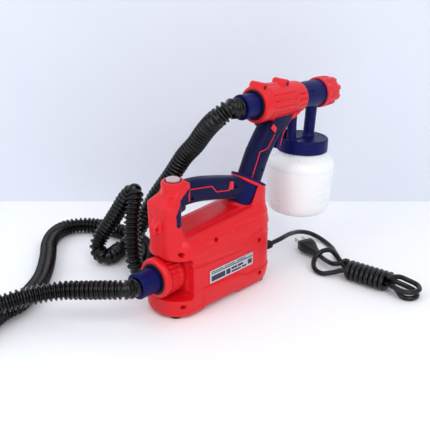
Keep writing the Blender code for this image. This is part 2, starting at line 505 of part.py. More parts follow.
def spray_head(gun):
    """The navy front barrel with two columns and the lid, with its nozzle set, needle and air cap."""
    head = turned("spray_head", tube_profile(BARREL_R - BARREL_WALL, BARREL_R, 62.4, 164), "navy_abs", gun,
                  along_x(0))
    lid = turned("lid", ((0, LID_TOP), (LID_R - 1.5, LID_TOP), (LID_R, LID_TOP - 1.5), (LID_R, LID_LOW),
                         (LID_R - 2.8, LID_LOW), (LID_R - 2.8, LID_TOP - 3), (0, LID_TOP - 3)), "navy_abs", gun,
                 Matrix.Translation((LID_X, 0, 0)), 28)
    rear_leg = loft("rear_leg", [rounded(80, 93, 7, 6, -63), rounded(79, 91, 7, 6, -17.6)], "navy_abs", gun)
    front_leg = loft("front_leg", [rounded(118, 134, 8, 7.5, -63), rounded(120, 136, 8, 7.5, -17.6)], "navy_abs", gun)
    riser = turned("riser", ((0, -20), (5, -20), (5, 0), (0, 0)), "navy_abs", gun, Matrix.Translation((128, 0, 0)), 16)
    nozzle_holder = turned("nozzle_holder", ((0, 0), (7, 0), (7, 52), (0, 52)), "navy_abs", gun, along_x(104), 20)
    carve(head, [lid, rear_leg, front_leg, riser, nozzle_holder], "UNION")
    needle_way = turned("needle_way", ((0, -9), (2.4, -9), (2.4, 80), (0, 80)), "navy_abs", gun, along_x(104), 12)
    paint_way = turned("paint_way", ((0, -76), (2.5, -76), (2.5, 0), (0, 0)), "navy_abs", gun,
                       Matrix.Translation((128, 0, 0)), 12)
    valve_hole = turned("valve_hole", ((0, -70), (2, -70), (2, -56), (0, -56)), "navy_abs", gun,
                        Matrix.Translation((88, 17, 0)), 12)
    carve(head, [needle_way, paint_way, valve_hole])

    turned("fluid_nozzle", ((2, 0), (8, 0), (8, 5), (3.2, 8), (2.9, 26), (1.7, 26.4), (1.7, 22), (2, 20)),
           "black_abs", gun, along_x(156.4), 20)
    turned("fluid_needle", ((0, 0), (1.5, 0), (1.5, 110), (1.2, 118), (0, TIP - 62)), "steel", gun, along_x(62), 12)
    turned("needle_spring", tube_profile(2.6, 4.4, 0, 12), "steel", gun, along_x(90.6), 14)
    cap = turned("air_cap", ((3.6, 0), (14.5, 0), (14.5, 4.5), (10, 7.5), (3.6, 7.5)), "red_abs", gun,
                 along_x(165, 0, 0), 24)
    horns = [block(f"horn{i}", (-3.2, low, 3), (3.2, low + 5, 12.5), "red_abs", gun, along_x(165))
             for i, low in enumerate((-12.4, 7.4))]
    carve(cap, horns, "UNION")
    ring = turned("air_cap_ring", ((BARREL_R + GAP, 0), (22, 0), (22.4, 3), (22, 20), (20.6, 31), (19.5, 34),
                                   (15, 34), (15, 29.6), (BARREL_R + GAP, 27.5)), "red_abs", gun, along_x(RING_BACK),
                  24)
    for i in range(8):
        notch = block(f"notch{i}", (21.2, -3.2, 6), (26, 3.2, 40), "red_abs", gun,
                      along_x(RING_BACK) @ Matrix.Rotation(2 * math.pi * (i + 0.5) / 8, 4, "Z"))
        carve(ring, [notch])


def paint_jar(gun):
    """The jar with its seal, pick-up tube, check valve and vent hose."""
    axis = Matrix.Translation((LID_X, 0, 0))
    neck = LID_R - 3.1
    outline = ((neck, -67.5), (neck, -84), (40, -88), (JAR_R - 2.5, -95), (JAR_R, -103), (JAR_R - 4, JAR_LOW + 12),
               (JAR_R - 9, JAR_LOW + 2), (JAR_R - 12, JAR_LOW), (0, JAR_LOW), (0, JAR_LOW + JAR_WALL),
               (JAR_R - 13, JAR_LOW + JAR_WALL), (JAR_R - 11, JAR_LOW + 4), (JAR_R - 4 - JAR_WALL, JAR_LOW + 13),
               (JAR_R - JAR_WALL, -103.5), (JAR_R - 4.5, -97), (39, -90), (neck - 2.2, -86), (neck - 2.2, -67.5))
    turned("paint_jar", outline, "natural_hdpe", gun, axis, 28)
    turned("lid_seal", tube_profile(neck - 6, neck, -67.2, -65.3), "black_rubber", gun, axis)
    pickup = [Vector((128, 0, -65.6)), Vector((128, 0, -90)), Vector((127, 0, -120)), Vector((122, 0, -145)),
              Vector((118, 0, -164))]
    cord_tube("pickup_tube", smooth_points(pickup, 16), 3.6, "clear_pvc", gun, 2)
    turned("check_valve", ((0, -61.7), (6, -61.7), (6, -50), (4, -49), (0, -49)), "navy_abs", gun,
           Matrix.Translation((88, 17, 0)), 16)
    vent = [Vector((88, 17, -48.7)), Vector((88, 17, -41)), Vector((87, 15.5, -33)), Vector((85, 12.5, -25)),
            Vector((84, 11.5, -22.4))]
    cord_tube("vent_hose", vent, 2.2, "clear_pvc", gun, 2)


def trigger_parts(gun):
    """The trigger with its red face, pivot pin and flow knob."""
    x, z = TRIGGER_PIVOT
    side = ((x + 4, z + 6.2), (x - 3, z + 6.2), (x - 8, z - 2), (x - 20.5, z - 16), (x - 28.5, z - 36), (x - 24, z - 40),
            (x - 20.4, z - 37), (x - 13, z - 16.4), (x + 1, z - 1))
    lever = prism("trigger", side, -7, 7, "navy_abs", gun)
    carve(lever, [turned("pin_room", ((0, -10), (1.9, -10), (1.9, 10), (0, 10)), "steel", gun,
                         along_y(x, 0, z + 3), 12)])
    face = ((x + 4, z + 2), (x + 1.4, z - 0.8), (x - 12.7, z - 16.5), (x - 20.1, z - 37.2), (x - 18, z - 38),
            (x - 10.6, z - 17.6), (x + 3.4, z - 2))
    prism("trigger_face", face, -6, 6, "red_abs", gun)
    turned("trigger_pin", ((0, -8), (1.5, -8), (1.5, 8), (0, 8)), "steel", gun, along_y(x, 0, z + 3), 12)


def hose_parts(root):
    """The corrugated hose as a plain tube, from the gun's cuff to the base's."""
    back = Matrix.Rotation(NOSE_DOWN, 3, "Y") @ Vector((-1, 0, 0))
    gun_end = Vector((GUN_X, 0, GUN_Z)) + back * (26 + GAP)
    base_end = Vector((CUFF_END - GAP, 0, DUCT_Z))
    inner = (tuple(gun_end + back * 8),) + HOSE_ROUTE + (tuple(base_end - Vector((8, 0, 0))),)
    points = [gun_end] + smooth_points(inner, 23) + [base_end]
    cord_tube("air_hose", points, HOSE_R, "black_rubber", root, 2)


def build():
    """Clears the scene and makes every piece."""
    for old in list(bpy.data.objects):
        bpy.data.objects.remove(old)
    root = empty("unit_frame", None, Matrix.Translation((-ORIGIN_X * MM, 0, 0)))
    gun = empty("gun_frame", root, Matrix.Translation((GUN_X * MM, 0, GUN_Z * MM))
                @ Matrix.Rotation(NOSE_DOWN, 4, "Y"))
    bpy.context.view_layer.update()
    base_shells(root)
    base_trim(root)
    switch_parts(root)
    motor_parts(root)
    lead_parts(root)
    hose_parts(root)
    gun_shells(gun)
    spray_head(gun)
    paint_jar(gun)
    trigger_parts(gun)
    bpy.context.view_layer.update()
    for piece in list(bpy.data.objects):
        if piece.type != "EMPTY":
            place = piece.matrix_world.copy()
            piece.parent = None
            piece.matrix_world = place
    for frame in (gun, root):
        bpy.data.objects.remove(frame)


build()
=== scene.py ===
"""A turbine paint sprayer: base unit, corrugated air hose and a spray gun parked in the holster.

Sizes are in millimetres until a mesh is written, which is in metres. X runs along the base from
the hose outlet to the mains lead, Y across it and Z up. The gun is drawn in its own frame, with x
along the barrel.
"""

from __future__ import annotations

import json
import logging
import math
from dataclasses import dataclass
from enum import Enum
from typing import Callable, Sequence

import bmesh
import bpy
from mathutils import Matrix, Vector

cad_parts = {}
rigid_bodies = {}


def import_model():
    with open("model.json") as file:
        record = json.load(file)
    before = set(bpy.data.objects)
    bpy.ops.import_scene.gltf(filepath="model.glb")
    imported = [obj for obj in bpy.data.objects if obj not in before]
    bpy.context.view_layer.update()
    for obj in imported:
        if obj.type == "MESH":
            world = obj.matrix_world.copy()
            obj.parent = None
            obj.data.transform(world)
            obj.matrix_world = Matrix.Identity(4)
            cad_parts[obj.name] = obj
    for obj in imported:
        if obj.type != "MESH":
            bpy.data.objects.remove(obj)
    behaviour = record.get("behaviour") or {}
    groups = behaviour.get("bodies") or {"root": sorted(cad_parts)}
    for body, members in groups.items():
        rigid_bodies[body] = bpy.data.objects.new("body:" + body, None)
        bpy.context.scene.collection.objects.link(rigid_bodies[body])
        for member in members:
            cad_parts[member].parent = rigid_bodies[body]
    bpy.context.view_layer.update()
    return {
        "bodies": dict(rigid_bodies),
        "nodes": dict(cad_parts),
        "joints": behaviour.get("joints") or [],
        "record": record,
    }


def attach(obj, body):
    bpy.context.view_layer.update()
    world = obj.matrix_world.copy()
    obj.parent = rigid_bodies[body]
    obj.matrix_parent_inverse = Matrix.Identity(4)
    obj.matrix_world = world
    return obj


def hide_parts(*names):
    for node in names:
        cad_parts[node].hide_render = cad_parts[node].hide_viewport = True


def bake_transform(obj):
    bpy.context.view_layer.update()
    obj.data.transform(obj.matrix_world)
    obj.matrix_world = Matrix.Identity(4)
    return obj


LOG = logging.getLogger("sprayer")
Points = Sequence[Sequence[float]]

MM = 0.001
SEAM = 0.15  # half of the gap where two shells meet
NOSE_DOWN = math.radians(3.0)
LEAN = math.radians(31.0)
GUN_SPOT = (86.0, 0.0, 246.0)
HOLSTER_SPOT = (80.0, 0.0, 145.0)
CUFF_END, TIP, DUCT_Z = -126.0, 184.0, 55.0
ORIGIN_X = (CUFF_END + GUN_SPOT[0] + TIP * math.cos(NOSE_DOWN)) / 2

UNIT = Matrix.Translation((-ORIGIN_X, 0, 0))
GUN = UNIT @ Matrix.Translation(GUN_SPOT) @ Matrix.Rotation(NOSE_DOWN, 4, "Y")
HOLSTER = UNIT @ Matrix.Translation(HOLSTER_SPOT) @ Matrix.Rotation(LEAN, 4, "Y")


class Slot(Enum):
    """The record's material slots."""

    RED = "red_abs"
    NAVY_GRIP = "navy_rubber"
    NAVY = "navy_abs"
    RUBBER = "black_rubber"
    BLACK = "black_abs"
    STEEL = "steel"
    ZINC = "zinc_screw"
    BRASS = "brass"
    ALUMINIUM = "aluminium"
    CAP = "clear_cap"
    JAR = "natural_hdpe"
    LABEL = "silver_label"
    FOAM = "foam"
    VINYL = "clear_pvc"


class Side(Enum):
    """Which half of a clamshell a piece is: the sign of the y it keeps."""

    FRONT = -1
    BACK = 1


# ---- Finishes ----

def linear(code: str) -> tuple[float, float, float, float]:
    """Turns an sRGB hex colour to linear RGBA."""
    channels = [int(code[i:i + 2], 16) / 255 for i in (1, 3, 5)]
    return (*[c / 12.92 if c <= 0.04045 else ((c + 0.055) / 1.055) ** 2.4 for c in channels], 1.0)


def add(tree: bpy.types.NodeTree, kind: str, settings: dict | None = None,
        links: dict | None = None) -> bpy.types.Node:
    """Adds a node.

    Args:
        tree: The material's node tree.
        kind: The node's Blender type.
        settings: Values for its properties, or for its input sockets by name or number.
        links: Output sockets for its input sockets, by name or number.

    Returns:
        The new node.
    """
    node = tree.nodes.new(kind)
    for key, value in (settings or {}).items():
        if isinstance(key, str) and hasattr(node, key):
            setattr(node, key, value)
        else:
            node.inputs[key].default_value = value
    for key, socket in (links or {}).items():
        tree.links.new(socket, node.inputs[key])
    return node


def per_metre(size_mm: float) -> float:
    """The texture scale at which one feature is size_mm across."""
    return 1.0 / (size_mm * MM)


@dataclass(frozen=True)
class Finish:
    """A surface: its colours and the shader values that are the same all over it."""

    name: str
    slot: Slot
    colour: str
    shade: str
    roughness: float = 0.4
    ior: float = 1.5
    gloss: float = 0.3

    def material(self) -> bpy.types.Material:
        """The material, made on its first use.

        Returns:
            The material.
        """
        found = bpy.data.materials.get(self.name)
        if found:
            return found
        made = bpy.data.materials.new(self.name)
        made.use_nodes = True
        tree = made.node_tree
        shader = tree.nodes["Principled BSDF"]
        shader.inputs["IOR"].default_value = self.ior
        shader.inputs["Roughness"].default_value = self.roughness
        shader.inputs["Specular IOR Level"].default_value = self.gloss
        self.dress(tree, shader, add(tree, "ShaderNodeTexCoord").outputs["Object"])
        return made

    def dress(self, tree: bpy.types.NodeTree, shader: bpy.types.Node, place: bpy.types.NodeSocket) -> None:
        """Adds the pattern nodes."""
        self.mottle(tree, shader, place, 30.0, 0.06)

    def mottle(self, tree: bpy.types.NodeTree, shader: bpy.types.Node, place: bpy.types.NodeSocket,
               size_mm: float,
               sway: float) -> bpy.types.Node:
        """Drifts the colour and the roughness slowly over the surface.

        Args:
            tree: The material's node tree.
            shader: Its principled shader.
            place: The coordinates.
            size_mm: The size of a patch.
            sway: How far the roughness moves each way.

        Returns:
            The mix node that gives the colour.
        """
        cloud = add(tree, "ShaderNodeTexNoise", {"Scale": per_metre(size_mm), "Detail": 4.0,
                                                 "Roughness": 0.6},
                    {"Vector": place})
        mix = add(tree, "ShaderNodeMix", {"data_type": "RGBA", 6: linear(self.shade), 7: linear(self.colour)},
                  {0: cloud.outputs["Fac"]})
        gloss = add(tree, "ShaderNodeMapRange", {"To Min": self.roughness - sway,
                                                 "To Max": self.roughness + sway,
                                                 "From Min": 0.3, "From Max": 0.7},
                                                 {"Value": cloud.outputs["Fac"]})
        tree.links.new(mix.outputs[2], shader.inputs["Base Color"])
        tree.links.new(gloss.outputs["Result"], shader.inputs["Roughness"])
        return mix

    def relief(self, tree: bpy.types.NodeTree, shader: bpy.types.Node, height: bpy.types.NodeSocket,
               depth_mm: float,
               strength: float = 1.0) -> None:
        """Adds a bump of a real depth."""
        bump = add(tree, "ShaderNodeBump", {"Strength": strength, "Distance": depth_mm * MM},
                   {"Height": height})
        tree.links.new(bump.outputs["Normal"], shader.inputs["Normal"])


@dataclass(frozen=True)
class MouldedPlastic(Finish):
    """Plastic moulded in a spark-eroded tool: an even, finely pitted satin, with a highlight painted on its
    convex edges.
    """

    grain_mm: float = 0.7  # real sparking is 0.1 mm; this is as coarse as it needs to be to show
    depth_mm: float = 0.03
    # The colour of the highlight painted on convex edges, and its largest share in the mix.
    edge_highlight: str = "#FF8A80"
    edge_highlight_share: float = 0.35

    def dress(self, tree: bpy.types.NodeTree, shader: bpy.types.Node, place: bpy.types.NodeSocket) -> None:
        """Adds drift in colour, a painted highlight on the convex edges and the sparked grain."""
        mix = self.mottle(tree, shader, place, 45.0, 0.05)
        # Convex edges, picked out by pointiness, are mixed towards the paler colour: a painted highlight.
        edge_glint = add(tree, "ShaderNodeMapRange", {"From Min": 0.53, "From Max": 0.62, "To Min": 0.0,
                                               "To Max": self.edge_highlight_share},
                  {"Value": add(tree, "ShaderNodeNewGeometry").outputs["Pointiness"]})
        highlit_edges = add(tree, "ShaderNodeMix", {"data_type": "RGBA", 7: linear(self.edge_highlight)},
                   {0: edge_glint.outputs["Result"], 6: mix.outputs[2]})
        tree.links.new(highlit_edges.outputs[2], shader.inputs["Base Color"])
        pits = add(tree, "ShaderNodeTexNoise", {"Scale": per_metre(self.grain_mm), "Detail": 2.0},
                   {"Vector": place})
        self.relief(tree, shader, pits.outputs["Fac"], self.depth_mm, 0.5)


@dataclass(frozen=True)
class SoftOvermould(Finish):
    """Thermoplastic rubber moulded over the grips: matt, a little powdery, with a soft low sheen."""

    grain_mm: float = 0.9

    def dress(self, tree: bpy.types.NodeTree, shader: bpy.types.Node, place: bpy.types.NodeSocket) -> None:
        """Adds the leathery texture of the mould and the sheen."""
        self.mottle(tree, shader, place, 25.0, 0.06)
        cells = add(tree, "ShaderNodeTexVoronoi", {"Scale": per_metre(self.grain_mm)}, {"Vector": place})
        self.relief(tree, shader, cells.outputs["Distance"], 0.05, 0.45)
        shader.inputs["Sheen Weight"].default_value = 0.12
        shader.inputs["Sheen Roughness"].default_value = 0.4


@dataclass(frozen=True)
class BlownHose(Finish):
    """Corrugated hose wound from a hot strip of polyethylene: glossy crests and dull dusty roots."""

    dust: str = "#3B3C40"

    def dress(self, tree: bpy.types.NodeTree, shader: bpy.types.Node, place: bpy.types.NodeSocket) -> None:
        """Adds dust in the roots and scuffs on the crests."""
        mix = self.mottle(tree, shader, place, 12.0, 0.08)
        root = add(tree, "ShaderNodeMapRange", {"From Min": 0.47, "From Max": 0.38, "To Min": 0.0,
                                                "To Max": 0.3},
                   {"Value": add(tree, "ShaderNodeNewGeometry").outputs["Pointiness"]})
        dusty = add(tree, "ShaderNodeMix", {"data_type": "RGBA", 7: linear(self.dust)},
                    {0: root.outputs["Result"], 6: mix.outputs[2]})
        tree.links.new(dusty.outputs[2], shader.inputs["Base Color"])
        scuff = add(tree, "ShaderNodeTexNoise", {"Scale": per_metre(2.0), "Detail": 5.0, "Roughness": 0.7},
                    {"Vector": place})
        self.relief(tree, shader, scuff.outputs["Fac"], 0.08, 0.3)


@dataclass(frozen=True)
class FlexSheath(Finish):
    """Extruded vinyl lead sheath and moulded rubber: a dull skin with faint length-wise drawing marks."""

    mark_mm: float = 1.2

    def dress(self, tree: bpy.types.NodeTree, shader: bpy.types.Node, place: bpy.types.NodeSocket) -> None:
        """Adds the drawing marks and a little bloom."""
        self.mottle(tree, shader, place, 9.0, 0.07)
        marks = add(tree, "ShaderNodeTexNoise", {"Scale": per_metre(self.mark_mm), "Detail": 3.0,
                                                 "Distortion": 0.6},
                    {"Vector": place})
        self.relief(tree, shader, marks.outputs["Fac"], 0.06, 0.4)


@dataclass(frozen=True)
class NaturalPolyethylene(Finish):
    """Blow-moulded natural polyethylene: milky, lit from within, with slow waves in its wall."""

    def dress(self, tree: bpy.types.NodeTree, shader: bpy.types.Node, place: bpy.types.NodeSocket) -> None:
        """Adds light through the wall and the blown waves."""
        self.mottle(tree, shader, place, 50.0, 0.05)
        waves = add(tree, "ShaderNodeTexNoise", {"Scale": per_metre(14.0), "Detail": 2.0}, {"Vector": place})
        self.relief(tree, shader, waves.outputs["Fac"], 0.25, 0.35)
        shader.inputs["Transmission Weight"].default_value = 0.15
        shader.inputs["Emission Color"].default_value = linear(self.colour)
        # A little emission stands for light scattered on inside the wall.
        shader.inputs["Emission Strength"].default_value = 0.03


@dataclass(frozen=True)
class ClearPlastic(Finish):
    """Clear moulded plastic or vinyl tube: see-through, with a faint haze."""

    clear: float = 0.8

    def dress(self, tree: bpy.types.NodeTree, shader: bpy.types.Node, place: bpy.types.NodeSocket) -> None:
        """Adds the haze and the transmission."""
        self.mottle(tree, shader, place, 6.0, 0.04)
        shader.inputs["Transmission Weight"].default_value = self.clear
        shader.inputs["Coat Weight"].default_value = 0.4
        shader.inputs["Coat Roughness"].default_value = 0.08


@dataclass(frozen=True)
class Metal(Finish):
    """A metal part with the marks of how it was made: turned rings, cast skin or plating."""

    mark_mm: float = 0.5
    stretch: tuple[float, float, float] = (1.0, 1.0, 12.0)

    def dress(self, tree: bpy.types.NodeTree, shader: bpy.types.Node, place: bpy.types.NodeSocket) -> None:
        """Adds the stretched tool marks."""
        self.mottle(tree, shader, place, 8.0, 0.08)
        shader.inputs["Metallic"].default_value = 1.0
        lie = add(tree, "ShaderNodeMapping", {"Scale": self.stretch}, {"Vector": place})
        marks = add(tree, "ShaderNodeTexNoise", {"Scale": per_metre(self.mark_mm * 4), "Detail": 4.0},
                    {"Vector": lie.outputs["Vector"]})
        self.relief(tree, shader, marks.outputs["Fac"], 0.03, 0.5)


@dataclass(frozen=True)
class OpenFoam(Finish):
    """Reticulated filter foam: round open cells."""

    cell_mm: float = 1.2

    def dress(self, tree: bpy.types.NodeTree, shader: bpy.types.Node, place: bpy.types.NodeSocket) -> None:
        """Adds the cells."""
        self.mottle(tree, shader, place, 10.0, 0.03)
        cells = add(tree, "ShaderNodeTexVoronoi", {"Scale": per_metre(self.cell_mm)}, {"Vector": place})
        self.relief(tree, shader, cells.outputs["Distance"], 0.6)


@dataclass(frozen=True)
class FoilLabel(Finish):
    """Metallised polyester film: a brushed silver sheet with a soft gloss."""

    def dress(self, tree: bpy.types.NodeTree, shader: bpy.types.Node, place: bpy.types.NodeSocket) -> None:
        """Adds the brushing along the label and the metal share."""
        shader.inputs["Metallic"].default_value = 0.35
        lie = add(tree, "ShaderNodeMapping", {"Scale": (1.0, 1.0, 14.0)}, {"Vector": place})
        hair = add(tree, "ShaderNodeTexNoise", {"Scale": per_metre(5.0), "Detail": 5.0},
                   {"Vector": lie.outputs["Vector"]})
        mix = add(tree, "ShaderNodeMix", {"data_type": "RGBA", 6: linear(self.shade), 7: linear(self.colour)},
                  {0: hair.outputs["Fac"]})
        tree.links.new(mix.outputs[2], shader.inputs["Base Color"])
        self.relief(tree, shader, hair.outputs["Fac"], 0.02, 0.4)


@dataclass(frozen=True)
class PaintedBoard(Finish):
    """A matt painted floor or wall, almost without texture."""

    def dress(self, tree: bpy.types.NodeTree, shader: bpy.types.Node, place: bpy.types.NodeSocket) -> None:
        """Adds very slow drift in the paint."""
        self.mottle(tree, shader, place, 400.0, 0.03)


# Sparked ABS in bright red: an even satin, with a paler highlight painted on its convex edges.
RED = MouldedPlastic("Red_ABS_moulded", Slot.RED, "#E0121E", "#D40E1A", 0.36, 1.53, 0.32, edge_highlight="#FF6A62",
                     edge_highlight_share=0.25)
# The same resin in navy, for the fittings, with the same painted edge highlight.
NAVY = MouldedPlastic("Navy_ABS_moulded", Slot.NAVY, "#0A1156", "#080D49", 0.38, 1.53, 0.12, edge_highlight="#2C3A86",
                      edge_highlight_share=0.3)
# Rubbery grips, a shade darker and duller than the hard navy.
NAVY_GRIP = SoftOvermould("Navy_TPE_overmoulded", Slot.NAVY_GRIP, "#0B0F40", "#080B34", 0.5, 1.5, 0.12)
# Wound polyethylene, near black, glossy on its crests.
HOSE = BlownHose("Black_PE_hose_wound", Slot.RUBBER, "#040405", "#020203", 0.17, 1.51, 0.32, dust="#101013")
# Extruded vinyl on the mains lead, a dull black with a soft gleam.
SHEATH = FlexSheath("Black_PVC_extruded", Slot.RUBBER, "#060607", "#030304", 0.3, 1.53, 0.35)
# Moulded rubber of the feet, seals and strain relief: matt black.
RUBBER = FlexSheath("Black_rubber_moulded", Slot.RUBBER, "#0A0A0C", "#060607", 0.55, 1.52, 0.25, 0.8)
# Black ABS of the plug, bezel and nozzle, with a faint painted edge highlight.
BLACK = MouldedPlastic("Black_ABS_moulded", Slot.BLACK, "#08080A", "#050506", 0.34, 1.53, 0.35,
                       edge_highlight="#2A2A2E",
                       edge_highlight_share=0.2)
# Undyed blown polyethylene: milky white, letting some light through.
JAR = NaturalPolyethylene("Natural_HDPE_blown", Slot.JAR, "#FFFFFF", "#FAFBFD", 0.3, 1.54, 0.4)
# See-through parts: the button, whose pink is painted light from the red round it, and the vent and pick-up
# tubes.
CAP = ClearPlastic("Clear_PC_painted_red_light", Slot.CAP, "#D9B4BA", "#CFA4AC", 0.16, 1.58, 0.5, 0.25)
VINYL = ClearPlastic("Clear_PVC_extruded", Slot.VINYL, "#EEF3F4", "#DDE6E8", 0.18, 1.53, 0.5, 0.7)
# Metals: zinc on the screws, ground steel, a cast skin, and plating on the pins.
ZINC = Metal("Zinc_plated_steel", Slot.ZINC, "#56585C", "#3F4145", 0.4, 1.5, 0.5)
STEEL = Metal("Ground_steel", Slot.STEEL, "#C4C6C9", "#A9ABAF", 0.28, 1.5, 0.5)
ALUMINIUM = Metal("Die_cast_aluminium", Slot.ALUMINIUM, "#C9CBCE", "#B4B6BA", 0.42, 1.5, 0.5, 1.4,
                  (1.0, 1.0, 1.0))
BRASS = Metal("Nickel_plated_brass", Slot.BRASS, "#D8D3C2", "#C2BBA6", 0.25, 1.5, 0.5)
# Dark open foam that takes the light in.
FOAM = OpenFoam("Filter_foam_reticulated", Slot.FOAM, "#26272A", "#17181A", 0.9, 1.5)
# Brushed silver foil, and the ink on it.
LABEL = FoilLabel("Silver_polyester_foil", Slot.LABEL, "#D6D8DA", "#AEB2B8", 0.32)
PRINT = FoilLabel("Dark_ink_on_foil", Slot.LABEL, "#3A4058", "#2A2E42", 0.4)
# Matt emulsion on the stage.
FLOOR = PaintedBoard("White_painted_floor", Slot.JAR, "#FBFBFB", "#F7F7F8", 0.75)
WALL = PaintedBoard("White_painted_wall", Slot.JAR, "#E2E6EF", "#DDE1EB", 0.85)

CAD_FINISHES: dict[str, Finish] = {
    "rubber_foot_1": RUBBER, "rubber_foot_2": RUBBER, "rubber_foot_3": RUBBER, "rubber_foot_4": RUBBER,
    "shell_screw_1": ZINC, "shell_screw_2": ZINC, "shell_screw_3": ZINC, "shell_screw_4": ZINC,
    "shell_screw_5": ZINC,
    "gun_screw_1": ZINC, "gun_screw_2": ZINC, "button_spring": STEEL, "needle_spring": STEEL,
    "fluid_needle": STEEL,
    "motor_shaft": STEEL, "motor_body": STEEL, "trigger_pin": STEEL, "switch_body": BLACK,
    "outlet_duct": BLACK,
    "turbine_housing": ALUMINIUM, "impeller": ALUMINIUM, "motor_mount_front": RUBBER,
    "motor_mount_rear": RUBBER,
    "intake_filter": FOAM, "lid_seal": RUBBER, "pickup_tube": VINYL,
}


# ---- Mesh tools ----

def solid(name: str, points: Points, faces: Sequence[Sequence[int]], place: Matrix) -> bpy.types.Object:
    """A closed mesh from points in millimetres.

    Args:
        name: The object's name.
        points: The corners in the frame of place.
        faces: The faces by point number.
        place: The frame, in millimetres.

    Returns:
        The new object, in metres at the world's origin.
    """
    mesh = bpy.data.meshes.new(name)
    mesh.from_pydata([(place @ Vector(p)) * MM for p in points], [], [tuple(f) for f in faces])
    work = bmesh.new()
    work.from_mesh(mesh)
    bmesh.ops.recalc_face_normals(work, faces=work.faces)
    work.to_mesh(mesh)
    work.free()
    made = bpy.data.objects.new(name, mesh)
    bpy.context.collection.objects.link(made)
    return made


def loft(name: str, rings: Sequence[Points], place: Matrix, closed: bool = False) -> bpy.types.Object:
    """A solid through rings of equal length, with flat ends, or joined end to start where closed.

    Args:
        name: The object's name.
        rings: The rings, each a list of points.
        place: The frame, in millimetres.
        closed: Whether the last ring meets the first.

    Returns:
        The new object.
    """
    count = len(rings[0])
    points = [p for ring in rings for p in ring]
    faces: list[tuple[int, ...]] = []
    if not closed:
        faces = [tuple(range(count)), tuple(range(len(points) - count, len(points)))]
    for level in range(len(rings) if closed else len(rings) - 1):
        low, high = level * count, (level + 1) % len(rings) * count
        for i in range(count):
            j = (i + 1) % count
            faces.append((low + i, low + j, high + j, high + i))
    return solid(name, points, faces, place)


def rounded(left: float, right: float, half: float, radius: float, z: float, far: float | None = None,
            steps: int = 10,
            y_mid: float = 0.0) -> list[tuple[float, float, float]]:
    """A rounded rectangle at height z; far is the radius of its two right corners.

    Args:
        left: Its lowest x.
        right: Its highest x.
        half: Half its width in y.
        radius: The radius of the left corners.
        z: Its height.
        far: The radius of the right corners, or None for the same one.
        steps: The steps in a corner.
        y_mid: The y of its middle.

    Returns:
        The points of the ring.
    """
    far = radius if far is None else far
    ring = []
    for cx, cy, size, start in ((right - far, half - far, far, 0), (left + radius, half - radius, radius, 90),
                                (left + radius, radius - half, radius, 180),
                                (right - far, far - half, far, 270)):
        for i in range(steps + 1):
            a = math.radians(start + 90 * i / steps)
            ring.append((cx + size * math.cos(a), y_mid + cy + size * math.sin(a), z))
    return ring


def turned(name: str, outline: Points, place: Matrix, sides: int = 96,
           swell: Callable[[float, float], float] | None = None) -> bpy.types.Object:
    """A solid of revolution about z.

    Args:
        name: The object's name.
        outline: The closed outline, as (radius, height).
        place: The frame, in millimetres.
        sides: How many sides it has.
        swell: What to add to a radius, from the angle and the height, for teeth and ribs.

    Returns:
        The new object.
    """
    points, rows, faces = [], [], []
    for radius, height in outline:
        row = []
        for i in range(sides if radius > 0 else 1):
            a = 2 * math.pi * i / sides
            r = radius + (swell(a, height) if swell and radius > 0 else 0.0)
            row.append(len(points))
            points.append((r * math.cos(a), r * math.sin(a), height))
        rows.append(row if radius > 0 else row * sides)
    for first, second in zip(rows, rows[1:] + rows[:1]):
        for i in range(sides):
            j = (i + 1) % sides
            corners = list(dict.fromkeys((first[i], first[j], second[j], second[i])))
            if len(corners) > 2:
                faces.append(tuple(corners))
    return solid(name, points, faces, place)


def smooth_line(route: Points, step: float) -> list[Vector]:
    """Points about a step apart on the smooth curve through the route's own points.

    Args:
        route: The points to go through.
        step: The distance wanted between points, in millimetres.

    Returns:
        The points, evenly spaced.
    """
    knots = [Vector(p) for p in route]
    knots = [2 * knots[0] - knots[1]] + knots + [2 * knots[-1] - knots[-2]]
    fine: list[Vector] = []
    for a, b, c, d in zip(knots, knots[1:], knots[2:], knots[3:]):
        for i in range(24):
            t = i / 24
            fine.append(0.5 * (2 * b + (c - a) * t + (2 * a - 5 * b + 4 * c - d) * t ** 2
                               + (3 * b - 3 * c + d - a) * t ** 3))
    fine.append(knots[-2])
    marks = [0.0]
    for p, q in zip(fine, fine[1:]):
        marks.append(marks[-1] + (q - p).length)
    count = max(2, round(marks[-1] / step))
    line, k = [], 0
    for i in range(count + 1):
        goal = marks[-1] * i / count
        while k < len(marks) - 2 and marks[k + 1] < goal:
            k += 1
        share = (goal - marks[k]) / max(marks[k + 1] - marks[k], 1e-9)
        line.append(fine[k].lerp(fine[k + 1], min(max(share, 0.0), 1.0)))
    return line


def line_length(line: Sequence[Vector]) -> float:
    """The length of a line of points."""
    return sum((q - p).length for p, q in zip(line, line[1:]))


def sleeve(name: str, line: Sequence[Vector], section: Callable[[int, float], tuple[float, float]],
           place: Matrix,
           sides: int = 40, up: Vector = Vector((0, 1, 0))) -> bpy.types.Object:
    """A solid along a line.

    Args:
        name: The object's name.
        line: The middle line.
        section: The offsets along the section's two axes, from the ring's number and the angle.
        place: The frame, in millimetres.
        sides: How many sides the section has.
        up: The section's second axis at the start; it is carried along without twist.

    Returns:
        The new object.
    """
    rings, across = [], up.normalized()
    for i, spot in enumerate(line):
        along = (line[min(i + 1, len(line) - 1)] - line[max(i - 1, 0)]).normalized()
        across = (across - along * across.dot(along)).normalized()
        out = across.cross(along)
        ring = []
        for k in range(sides):
            u, v = section(i, 2 * math.pi * k / sides)
            ring.append(spot + out * u + across * v)
        rings.append(ring)
    return loft(name, rings, place)


